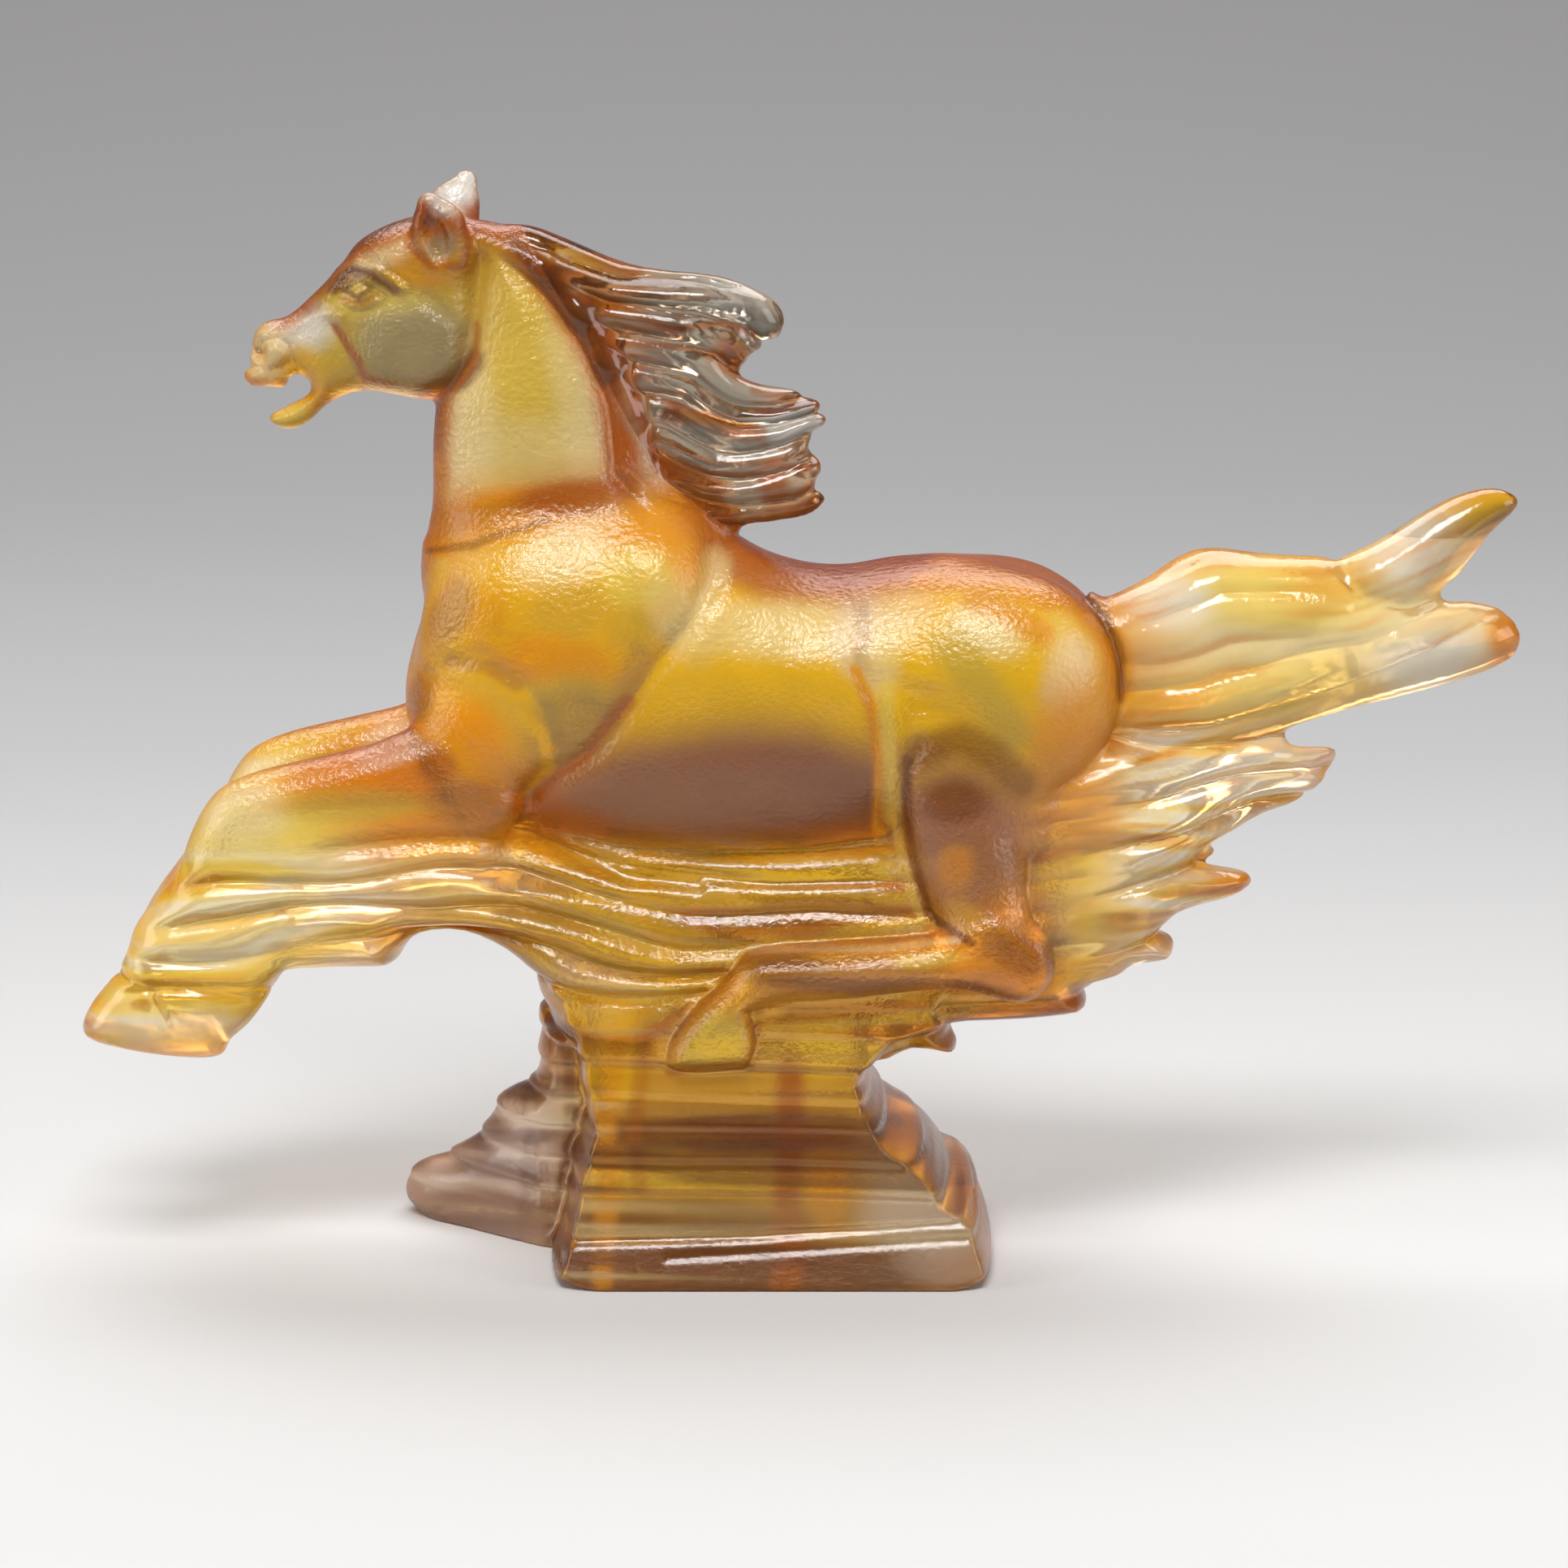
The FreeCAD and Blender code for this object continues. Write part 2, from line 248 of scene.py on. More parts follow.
def marked(x, z, creases, swells):
    """The height of creases (line, depth, width) and swells (centre, radii, height, lean).

    A crease of negative depth is a ridge.
    """
    height = 0
    for line, depth, width in creases:
        height = height + groove(line, x, z, depth, width)
    for at, radii, rise, lean in swells:
        height = height + swell(x, z, at, radii, rise, lean)
    return height


def unevenness(x, z, grain_x, grain_z, height, seed, side):
    """The soft unevenness of a wax that was worked by hand, with another draw on each side."""
    return height * (value_noise(x / grain_x + 4 * side, z / grain_z, seed) - 0.5)


# The trunk: chest on the left, back above, belly below.

TRUNK = [
    (-72.5, 138), (-72.3, 131.5), (-75.4, 123), (-77.6, 113), (-76.6, 105), (-70, 94), (-62, 87), (-53, 84),
    (-38, 79.7), (-20, 78.4), (0, 79.6), (14, 82), (30, 83), (44, 85), (53, 92), (57.6, 98), (61, 105.8),
    (62.2, 113), (60.8, 121.5), (56.5, 128.6), (50, 133.4), (40, 137), (29.8, 138.6), (20, 138), (8, 136.4),
    (-2, 137.8), (-10, 141), (-17, 145.5), (-24, 149.5), (-36, 151), (-55, 149), (-70, 143.5),
]
SURFACE_RISE = 4.7
TRUNK_CREASES = [
    # shoulder edge and neck base
    ([(-16, 140), (-17.5, 131), (-21, 124.5), (-30, 113), (-39.5, 100), (-47, 95), (-54.5, 88.5)], 2.0, 2.4),
    ([(-72, 139), (-63, 139.5), (-56, 142), (-50, 144.5), (-40, 147)], 1.5, 1.8),
    # flank and thigh front
    ([(10.6, 116), (14, 109), (14.6, 98), (14, 84)], 0.9, 1.8),
    ([(23, 101), (20, 95), (19.6, 86), (23, 71)], 1.8, 1.6),
    # head and fold of the arm
    ([(-71.4, 113.6), (-69, 116.5), (-61.5, 118), (-53.5, 113.5), (-49, 106.5), (-48, 101)], 2.0, 1.8),
    ([(-71.4, 104), (-70, 101), (-68.4, 97), (-64, 93.6)], 1.9, 1.6),
    # elbow and stifle
    ([(-60, 88), (-53, 92), (-46, 100), (-41, 108)], 0.9, 2.2),
    ([(16, 112), (26, 108), (36, 100), (42, 92), (50, 88)], 1.2, 3.4),
]
TRUNK_MUSCLES = [
    ((-27, 133), (9, 12), 1.8, 25), ((-60, 125), (5, 10), 1.0, -15), ((-66, 101), (5, 6), 1.2, 0),
    ((-47, 104), (5, 11), 1.0, -25), ((38, 119), (15, 10), 1.2, -20),
]


def trunk_relief(x, z, side):
    """Muscles, the creases between them, and wax of two grains."""
    wax = unevenness(x, z, 15, 11, 0.9, 71, side)
    wax = wax + 0.4 * (value_noise(x / 6, z / 5 + 4 * side, 72) - 0.5)
    return marked(x, z - SURFACE_RISE, TRUNK_CREASES, TRUNK_MUSCLES) + wax


casting(TRUNK, 23, 26, 3, relief=trunk_relief, fullness=2.2)
ball((-48, 11, 123), (26, 13, 24), 4, lean=-24, mirrored=True)
ball((-62, 12, 106), (13, 10.5, 13), 3, mirrored=True)
ball((39.5, 9.5, 114), (21, 14.5, 22), 5, mirrored=True)

# Neck and crest.

NECK = [
    (-72.3, 131), (-72.8, 140), (-71.4, 150), (-71.2, 162), (-70, 171), (-66, 180), (-64, 192), (-62, 202),
    (-57.8, 201.5), (-45, 194), (-36, 181), (-30.5, 169), (-28.1, 157.8), (-22, 150), (-16, 143), (-20, 132),
    (-45, 122), (-62, 124),
]
NECK_HALF_THICKNESS = along_z([120, 140, 165, 190, 203], [17, 14.5, 12, 9.5, 8])


def neck_relief(x, z, side):
    crest_inner = [(-60.2, 201.5), (-50, 192), (-42, 181.5), (-37, 169.3), (-36, 156), (-30, 149)]
    return groove(crest_inner, x, z, 1.4, 1.3) + unevenness(x, z, 14, 17, 0.8, 73, side)


casting(NECK, NECK_HALF_THICKNESS, 16, 5, relief=neck_relief)
limb([
    (-61, 0, 200.5, 3.2), (-50, 0, 195, 4.2), (-42.5, 0, 186.5, 4.6), (-37.5, 0, 177, 4.6),
    (-33.5, 0, 167, 4.6), (-31, 0, 156, 4.6), (-24, 0, 148, 4.2), (-17, 0, 141, 3.4),
], 1.5, flat=1.75)

# Head: brow, nose, open mouth and jaw. The cheek is a raised disc.

HEAD = [
    (-73.5, 205), (-80, 203), (-85.5, 199.8), (-89, 195.4), (-95.3, 188.8), (-99.4, 185.3), (-103.4, 184),
    (-105.3, 181.8), (-106.5, 177.5), (-107.9, 174), (-106.3, 172), (-103, 171.9), (-100, 171.6),
    (-98.2, 173.2), (-96, 171.4), (-97.6, 169.4), (-100.5, 167.6), (-103.2, 166), (-101.9, 164.2),
    (-99, 163.6), (-95.6, 165), (-92.3, 168), (-88, 170.4), (-83.5, 171.1), (-78.3, 170.4), (-72.5, 169.4),
    (-68, 171), (-64.3, 176.3), (-62.9, 181), (-62, 192), (-62, 201), (-66.7, 206),
]


def head_half_thickness(x, z):
    across = np.interp(x, [-108, -103, -96, -88, -80, -62], [4.0, 5.2, 5.2, 7.4, 9.2, 9.0])
    jaw = smoothstep(z, 163, 174)
    return across * (0.72 + 0.28 * jaw)


FACE_RISE = 1.7
CHEEK = rounded([
    (-65, 186), (-63.8, 178), (-67, 172.5), (-73, 170.2), (-80, 171), (-85, 174.5), (-84.6, 181), (-77, 187),
])
FACE_CREASES = [
    # brow, upper lid, lower lid and the hollow before the cheek
    ([(-90.5, 188.4), (-88.8, 192), (-85.4, 194.6), (-80.6, 193.2), (-76.6, 190.2)], -1.2, 1.3),
    ([(-87.6, 190.2), (-85, 192.2), (-81.6, 191.6), (-79.4, 189.4)], -0.9, 0.7),
    ([(-87.6, 187.4), (-84.4, 186.4), (-80.6, 188)], -0.8, 0.7),
    ([(-90.6, 183.4), (-88, 179), (-85.4, 173)], 0.6, 1.0),
]
EYE = [((-84, 189.8), (5.6, 4.4), -1.7, 0), ((-84.2, 189.4), (2.5, 2.2), 2.5, 0)]
MUZZLE_CREASES = [
    # nose bone, nostril rim, lip and the back of the cheek
    ([(-98, 184), (-93, 186.6), (-89, 186)], -0.6, 1.4),
    ([(-104, 180.8), (-101, 181.6), (-98.6, 180.2), (-98.4, 178)], 1.1, 0.8),
    ([(-107, 175.8), (-102, 175.4), (-98, 177)], 0.8, 0.8),
    ([(-72, 190), (-67, 186), (-64.6, 180)], 0.7, 1.6),
]
MUZZLE_SWELLS = [
    ((-102, 180.5), (4.2, 3.8), 1.3, 0),
    ((-104.4, 178.6), (1.2, 1.6), -2.4, 0),
    ((-96.6, 172.6), (2.6, 2.6), -1.8, 0),
]


def head_relief(x, z, side):
    """Cheek disc, brow, lids and eye, and then nose, nostril, lips and the back of the cheek."""
    face_z = z - FACE_RISE
    cheek = smoothstep(-signed_distance(CHEEK, x, face_z), -3.0, 6.0)
    face = marked(x, face_z, FACE_CREASES, EYE)
    return cheek + face + marked(x, z, MUZZLE_CREASES, MUZZLE_SWELLS)


casting(HEAD, head_half_thickness, 7, 2.5, relief=head_relief)


def cupped_ear(base, middle, tip, hollow, hollow_radii, lean):
    """A pointed ear with its cup open to the side and front. Points are (x, y, z, radius)."""
    limb([base, middle, tip], 1.5, flat=0.7)
    ball(hollow, hollow_radii, 0.8, lean=lean, remove=True)


cupped_ear((-68.6, -6.4, 198.0, 5.4), (-69.4, -8.0, 203.8, 4.8), (-71.0, -8.8, 208.0, 2.2),
           (-69.8, -13.0, 201.0), (3.0, 4.6, 6.6), 12)
cupped_ear((-68.0, 5.5, 201, 5.4), (-67.2, 7.2, 206.0, 4.6), (-65.0, 8.0, 210.6, 2.3),
           (-70.2, 12.0, 206.0), (2.3, 2.6, 4.4), -20)

# Hair and water: ridges that follow the flow from one edge of a form to the other.


def flow(x, z, upper, lower):
    """0 along the upper edge and 1 along the lower, with level lines that run between the two."""
    above, below = distance_to_line(upper, x, z), distance_to_line(lower, x, z)
    return above / (above + below + TINY)


def strands(level, x, count, height, seed, reach=30.0):
    """Rounded locks with sharp furrows between them, count of them across the flow."""
    drift = 0.55 * (value_noise(x / reach, level * 3.0, seed) - 0.5)
    lock = np.abs(np.sin(math.pi * count * (level + drift / count * 2)))
    fine = np.abs(np.sin(math.pi * count * 2.7 * (level + 0.4 * drift / count)))
    swelling = 0.6 + 0.8 * value_noise(x / reach + 9, level * count, seed + 1)
    return height * ((lock ** 0.7 - 0.6) * swelling + 0.07 * (fine ** 0.8 - 0.6))


MANE = [
    (-66.7, 205), (-60.3, 203.4), (-52.3, 202.6), (-44.8, 199.5), (-34.9, 195.4), (-26.9, 194),
    (-18, 193.9), (-10, 191.4), (-5, 188), (-3.6, 184.4), (-5.5, 181.3), (-10, 178.4), (-12, 175.4),
    (-9, 172.8), (-1.9, 170.6), (3.4, 168), (4.2, 165), (1.6, 162.3), (1.4, 159.4), (3.7, 156.4),
    (2.4, 153.4), (4.1, 149.8), (1.5, 147.2), (-6, 146), (-11.9, 144.9), (-15, 140), (-24, 145), (-32, 157),
    (-38, 172), (-46, 184), (-57, 196),
]
MANE_TOP = [(-66.7, 206), (-52, 202.6), (-35, 195.4), (-18, 193.9), (-6, 189.7), (-3.6, 184.4)]
MANE_FOOT = [(-30, 150), (-20, 146), (-12, 145), (0, 146.4), (4, 148)]
MANE_HALF_THICKNESS = along_x([-66, -50, -25, 4], [5.5, 6.5, 5.5, 3.6])


def mane_relief(x, z, side):
    level = flow(x, z, MANE_TOP, MANE_FOOT)
    height = strands(level, x + 7 * side, 8, 1.9, 11 + int(side), 26.0)
    return height * smoothstep(x, -64, -44)


casting(MANE, MANE_HALF_THICKNESS, 6, 1.0, relief=mane_relief)

TAIL = [
    (56, 130.5), (60, 130.4), (67.3, 133.9), (74, 138.3), (80, 139.9), (92, 138.8), (106, 138.7),
    (114.5, 141.8), (123.7, 147.5), (130, 150.2), (136, 151.1), (139.4, 148.8), (134.4, 143.2),
    (129, 135.6), (126.3, 131.2), (130.5, 129), (137, 127), (140.2, 123), (138.4, 118), (126.6, 113.4),
    (110.4, 109.1), (96.4, 105.3), (84, 101), (70, 98), (60, 100), (57, 115),
]
TAIL_TOP = [(58, 131), (67, 134), (80, 140), (106, 139), (124, 147.5), (138, 151)]
TAIL_FOOT = [(58, 100), (80, 101), (96, 105), (110, 109), (127, 113.4), (140, 119)]
TAIL_HALF_THICKNESS = along_x([56, 75, 105, 125, 141], [9.5, 10.5, 9.5, 7.0, 4.5])


def tail_relief(x, z, side):
    level = flow(x, z, TAIL_TOP, TAIL_FOOT)
    height = strands(level, x + 5 * side, 4, 2.0, 21 + int(side), 40.0)
    fork = groove([(126.5, 130.8), (118, 129), (109, 130.6), (105, 136)], x, z, 1.4, 3.0)
    plume = swell(x, z, (122, 143), (16, 5), 1.6, 34) + swell(x, z, (124, 121), (16, 6), 1.6, 14)
    calm = (0.35 + 0.65 * smoothstep(level, 0.3, 0.6)) * (1 - 0.6 * smoothstep(x, 92, 112))
    return height * smoothstep(x, 58, 74) * calm + fork + plume


casting(TAIL, TAIL_HALF_THICKNESS, 15, 1.5, relief=tail_relief)


def water_level(x, z, side, seed, pitch=6.2):
    """Which thread of the drawn-out water runs through (x, z): each whole number is one furrow."""
    drift = 1.5 * (value_noise(x / 52 + 3 * side, z / 17, seed) - 0.5)
    drift = drift + 0.7 * (value_noise(x / 23, z / 9 + 5 * side, seed + 1) - 0.5)
    sag = 7 * smoothstep(x, -62, -22)
    return (z - 0.04 * x + sag) / pitch + drift


SHIN = [(-108, 96), (-115, 92), (-119, 85), (-122, 78), (-129.5, 69), (-134, 58), (-139, 52), (-140.6, 47)]


def clear_of_shin(x, z):
    """0 along the front edge of the forelegs, which stays smooth, and 1 away from it."""
    return smoothstep(distance_to_line(SHIN, x, z), 1, 7)


def streaks(x, z, side, height, seed, pitch=6.2):
    """Wind-drawn water: long ridges with sharp furrows, which swell, fade and part along their length."""
    level = water_level(x, z, side, seed, pitch)
    ridge = np.abs(np.sin(math.pi * level)) ** 0.7
    fine = np.abs(np.sin(math.pi * (2.6 * level + 0.8 * np.sin(x / 17)))) ** 0.8
    strength = 0.3 + 1.4 * value_noise(x / 28 + 7 * side, level / 1.5, seed + 2)
    return height * ((ridge - 0.6) * strength + 0.05 * (fine - 0.6))


WAVE = [
    (-60, 91), (-104, 89), (-114, 88.5), (-118.6, 85), (-122, 79), (-128.5, 70), (-132.5, 60), (-130, 52),
    (-118, 49), (-108.5, 50.5), (-104.5, 53.6), (-100.8, 57.2), (-90, 58.6), (-81, 58.8), (-78.6, 62.6),
    (-75.4, 65.2), (-66, 65.6), (-58, 62.4), (-52.5, 56), (-49.5, 50), (-47.5, 42), (-20, 38), (13, 38),
    (22, 41.5), (30.5, 40.4), (29.5, 45.8), (43, 46.6), (55, 48), (56, 52), (62.7, 55.2), (65.3, 57.6),
    (71.6, 59.4), (72.4, 62), (72.8, 65.5), (76, 69.2), (86.4, 73.2), (87.2, 75), (82.2, 77.3),
    (79.2, 79.6), (81.4, 83), (90.4, 88.6), (100.5, 92.3), (103.8, 97.8), (103.4, 100), (96.5, 101),
    (93, 104), (75, 104), (60, 104), (45, 100), (14, 90), (-20, 88), (-45, 92),
]


def wave_half_thickness(x, z):
    places = [-134, -118, -95, -62, -40, 30, 55, 80, 104]
    along = np.interp(x, places, [11, 19, 22.5, 22.5, 22, 20, 15, 10, 5.5])
    under_belly = smoothstep(x, -64, -54) * smoothstep(-x, -24, -14)
    return along * (1 - under_belly * (1 - np.interp(z, [64, 76, 86, 95], [1.0, 0.88, 0.55, 0.4])))


def wave_relief(x, z, side):
    torn = smoothstep(x, 45, 75)
    crest = [(-62, 92), (-52, 89.5), (-42, 84.5), (-30, 81), (-14, 80.4), (2, 81.4), (16, 82)]
    fold = [(-58, 89), (-46, 82.6), (-34, 78), (-20, 76.4)]
    calm = 1 - 0.55 * smoothstep(z, 62, 74) * smoothstep(x, -50, -30)
    height = streaks(x, z, side, 2.2, 31) * clear_of_shin(x, z) * (1 - torn) * calm
    height = height + streaks(x, z, side, 3.6, 35, pitch=9.0) * torn
    return height - 0.9 * groove(crest, x, z, 1.0, 1.8) + groove(fold, x, z, 1.1, 1.2)


casting(WAVE, wave_half_thickness, 9, 1.5, relief=wave_relief, steps=3)

# Limbs. The off pairs are near copies of the near pairs.

FORELEG_Y = 15.5
HIND_LEG_Y = 22.5


def foreleg(side, shift):
    """Forearm, cannon and hoof of one foreleg. shift moves it along the gallop."""
    y = FORELEG_Y * side
    dx, dz = shift

    def leg_relief(x, z, _):
        coronet = [(-133.4 + dx, 59.0 + dz), (-120.5 + dx, 57.0 + dz), (-106 + dx, 55.0 + dz)]
        hoof_edge = [(-125.8 + dx, 56), (-123.5 + dx, 49)]
        height = groove(coronet, x, z, 0.9, 1.0) + groove(hoof_edge, x, z, 0.8, 0.8)
        lower = smoothstep(-z, -86, -76) * smoothstep(z, 52, 58)
        return height + streaks(x, z, side, 2.1, 31) * lower * clear_of_shin(x, z)

    outline = [
        (-66, 107), (-75.5, 107), (-83.7, 104), (-92, 102), (-104.8, 98.9), (-112.2, 95.7), (-116, 91.5),
        (-118.8, 86), (-121.9, 78.5), (-129.3, 69), (-131.6, 63), (-134, 58.5), (-138.8, 52.5),
        (-140.6, 47.5), (-137, 44.6), (-125, 42.2), (-114.4, 42), (-111.6, 45.5), (-107.6, 49.2),
        (-104, 55), (-101, 66), (-97, 76), (-90, 82), (-76, 84.5), (-60, 85), (-54, 95),
    ]
    casting([(x + dx, z + dz) for x, z in outline], 7.5, 6.5, 3, centre=y, relief=leg_relief)


foreleg(-1, (0.0, 0.0))
foreleg(1, (3.0, 1.5))


def hind_leg(side):
    """Thigh, gaskin, folded cannon and hoof of one hind leg."""
    y = HIND_LEG_Y * side
    ball((33, 15 * side, 97), (14, 9.5, 19), 5, lean=8)
    limb([
        (31, 17 * side, 92, 11.5), (33, 19 * side, 80, 10.0), (36, 21 * side, 70, 8.4), (40, y, 63.5, 7.0),
    ], 1.6, flat=0.75)
    cannon = [
        (44, 70.5), (48, 67.5), (49.2, 62), (47.6, 57.4), (42, 54.6), (30, 57.4), (10, 55.6), (-4, 54.6),
        (-9, 52.4), (-8.2, 47.2), (-10, 42.4), (-14, 41.4), (-21, 41), (-26, 42.4), (-24.6, 48.4),
        (-18.6, 55.2), (-13.4, 60.2), (-8.5, 64.8), (4, 66), (20, 67.2), (27, 68.4), (31, 72), (38, 74),
    ]

    def leg_relief(x, z, _):
        coronet = [(-9.4, 42.4), (-7.8, 46.6), (-9, 50), (-10.2, 53.5)]
        return groove(coronet, x, z, 0.9, 0.9) + swell(x, z, (8, 61.6), (26, 2.2), 0.9)

    casting(cannon, 6.5, 4.5, 1.5, centre=y, relief=leg_relief)


hind_leg(-1)
hind_leg(1)

# The pedestal: a block with stepped strata, a waist, and a wing behind its left edge.

BLOCK = [
    (-48.4, 0.2), (-48, 5), (-45.6, 14), (-45, 19), (-43.2, 25), (-42.2, 30), (-43.2, 34), (-45, 45),
    (-48, 52), (-44, 60), (26, 60), (28, 52), (28.5, 47.6), (19.9, 44.8), (14, 39.5), (13.3, 36.3),
    (17.4, 28.2), (25.3, 22), (29.2, 16.4), (34.3, 13.7), (36.3, 7.8), (37, 0.2), (20, -4), (-30, -4),
]
BED_TILT = 0.03
LEDGE_HEIGHT = 6.1
LEDGE_LEAN = 0.82


def strata(x, z, drop):
    """Weathered ledges: each leans out and then falls back."""
    step = (z + BED_TILT * x + 1.6 * value_noise(x / 38, z / 9, 51)) / LEDGE_HEIGHT
    ledge = step - np.floor(step)
    return drop * (0.5 - smoothstep(ledge, 0.0, LEDGE_LEAN) + smoothstep(ledge, LEDGE_LEAN, 1.0))


BLOCK_HALF_DEPTH = along_z([0, 9, 37, 46, 60], [35.6, 31, 23.6, 23, 20])


def block_relief(x, z, side):
    fan = groove([(-26, 5.7), (0, 7.2), (35.5, 9.4)], x, z, 0.35, 0.6)
    fan = fan + groove([(-45.9, 8.6), (-10, 9.6), (34, 12.3)], x, z, 0.8, 0.7)
    return strata(x, z, 0.6) * smoothstep(z, 9, 14) + fan


casting(BLOCK, BLOCK_HALF_DEPTH, 3.0, 1.2, centre=-0.4, relief=block_relief, steps=3)

WING = [
    (-38, 50), (-51, 48), (-52, 43), (-52.4, 37), (-53, 32), (-57.5, 29), (-61, 25.6), (-63, 21), (-66, 17.4),
    (-70, 14), (-75.6, 11.4), (-79, 8.6), (-80.6, 5), (-79, 1), (-70, -3), (-38, -3),
]
WING_CENTRE = along_x([-80, -68, -52, -38], [20, 15, 7, 6])


def wing_half_depth(x, z):
    foot = np.interp(x, [-80, -66, -50, -38], [6, 9, 14, 14])
    return foot * np.interp(z, [0, 20, 50], [1.0, 0.75, 0.6])


def wing_relief(x, z, side):
    return strata(x, z, 0.7) * smoothstep(z, 3, 10)


casting(WING, wing_half_depth, 5, 2, centre=WING_CENTRE, relief=wing_relief, steps=3)

# The foot is flat: nothing of the field is left below the table.

np.maximum(field, -Z[None, None, :], out=field)

# One skin over the whole field, then its parting into pieces.


def skin():
    """The field's outer surface as (points in millimetres, faces), without the pockets left inside it."""
    grid = openvdb.FloatGrid(background=FAR)
    grid.copyFromArray(field / VOXEL)
    points, _, quads = grid.convertToPolygons(isovalue=0.0, adaptivity=0.0)
    island = np.arange(len(points))
    starts, ends = quads.ravel(), np.roll(quads, -1, axis=1).ravel()
    settled = False
    while not settled:
        lowest = np.minimum(island[starts], island[ends])
        merged = island.copy()
        np.minimum.at(merged, island[starts], lowest)
        np.minimum.at(merged, island[ends], lowest)
        merged = merged[merged]
        settled = (merged == island).all()
        island = merged
    outer = np.bincount(island).argmax()
    kept = island == outer
    renumbered = np.cumsum(kept) - 1
    return LOW + points[kept] * VOXEL, renumbered[quads[kept[quads[:, 0]]]]


def slope(points):
    """The outward direction of the field at points, in millimetres."""
    place = (points - LOW) / VOXEL
    base = np.clip(np.floor(place).astype(int), 1, counts - 3)
    part = np.clip(place - base, 0, 1)
    total = np.zeros((len(points), 3))
    for i in (0, 1):
        for j in (0, 1):
            for k in (0, 1):
                corner = base + (i, j, k)
                weight = np.ones(len(points))
                for axis, step in enumerate((i, j, k)):
                    weight *= part[:, axis] if step else 1 - part[:, axis]
                for axis in range(3):
                    ahead, behind = corner.copy(), corner.copy()
                    ahead[:, axis] += 1
                    behind[:, axis] -= 1
                    total[:, axis] += weight * (field[tuple(ahead.T)] - field[tuple(behind.T)])
    return total / (np.linalg.norm(total, axis=1, keepdims=True) + TINY)


# Parting. Each piece is the part of the casting inside some half-spaces, each given by a point and the
# direction that leaves the piece. What one piece takes is gone for those after it.

CUT_REACH = 400.0


def under(z):
    return ((0, 0, z), (0, 0, 1))


def over(z):
    return ((0, 0, z), (0, 0, -1))


def left_of(x):
    return ((x, 0, 0), (1, 0, 0))


def right_of(x):
    return ((x, 0, 0), (-1, 0, 0))


def beyond(side, y):
    """The part farther out than y on one side."""
    return ((0, side * y, 0), (0, -side, 0))


def right_of_line(x1, z1, x2, z2):
    """The part to the right of someone walking from the first (x, z) point to the second, seen from -Y."""
    return ((x1, 0, z1), (z1 - z2, 0, x2 - x1))


def left_of_line(x1, z1, x2, z2):
    return ((x1, 0, z1), (z2 - z1, 0, x1 - x2))


PARTING = [
    ("pedestal_plinth", [under(10)]),
    ("pedestal_wing", [under(41), left_of(-45.2)]),
    ("pedestal_rock_face", [under(41), left_of(60), right_of(-60)]),
    ("near_ear", [over(199.5), beyond(-1, 4), left_of(-62)]),
    ("off_ear", [over(204), beyond(1, 2.5), left_of(-60)]),
    ("lower_jaw", [under(171.4), over(150), left_of(-86)]),
    ("head", [left_of_line(-70, 165, -60, 210), over(155)]),
    ("mane_upper_lock", [right_of_line(-27, 155, -52, 200), over(176)]),
    ("mane_lower_lock", [right_of_line(-27, 155, -52, 200), right_of_line(-12, 143, -27, 155), over(143)]),
    ("neck", [over(143), left_of(0)]),
]
for side, name in ((-1, "near"), (1, "off")):
    PARTING += [
        (f"{name}_forearm", [left_of_line(-62, 83.5, -80, 112), left_of(-62), over(83.5), beyond(side, 8)]),
        (f"{name}_fore_hoof", [left_of(-103), under(58.5), beyond(side, 8)]),
        (f"{name}_fore_cannon", [left_of(-103), under(83.5), beyond(side, 8)]),
        (f"{name}_gaskin", [right_of(14), left_of(52), over(69), under(96), beyond(side, 13)]),
        (f"{name}_hind_cannon", [right_of(-9), left_of(52), over(50), under(69), beyond(side, 15.5)]),
        (f"{name}_hind_hoof", [right_of(-28), left_of(-9), under(66), beyond(side, 15.5)]),
    ]
PARTING += [
    ("wave_prow", [left_of(-60), left_of_line(-60, 86, -78, 104)]),
    ("forequarters", [left_of_line(-58, 84, -14, 146), over(80.5)]),
    ("wave_middle", [left_of(24), under(80.5)]),
    ("wave_lower_spray", [right_of(24), under(80)]),
    ("tail_upper_plume", [right_of(61), right_of_line(126, 131, 61, 121)]),
    ("tail_lower_plume", [right_of(61), over(104)]),
    ("wave_upper_spray", [right_of_line(44, 80, 63, 108)]),
    ("barrel", [left_of(14)]),
    ("hindquarters", [right_of(14)]),
]


def new_object(name, mesh):
    piece = bpy.data.objects.new(name, mesh)
    bpy.context.scene.collection.objects.link(piece)
    return piece


def cutter(half_spaces):
    """A closed convex block that fills all the half-spaces."""
    block = bmesh.new()
    bmesh.ops.create_cube(block, size=2 * CUT_REACH * MM)
    for point, normal in half_spaces:
        everything = block.verts[:] + block.edges[:] + block.faces[:]
        cut = bmesh.ops.bisect_plane(
            block, geom=everything, plane_co=[c * MM for c in point], plane_no=normal, clear_outer=True
        )
        rim = [part for part in cut["geom_cut"] if isinstance(part, bmesh.types.BMEdge)]
        bmesh.ops.edgeloop_fill(block, edges=rim)
    bmesh.ops.recalc_face_normals(block, faces=block.faces)
    mesh = bpy.data.meshes.new("cutter")
    block.to_mesh(mesh)
    block.free()
    return new_object("cutter", mesh)


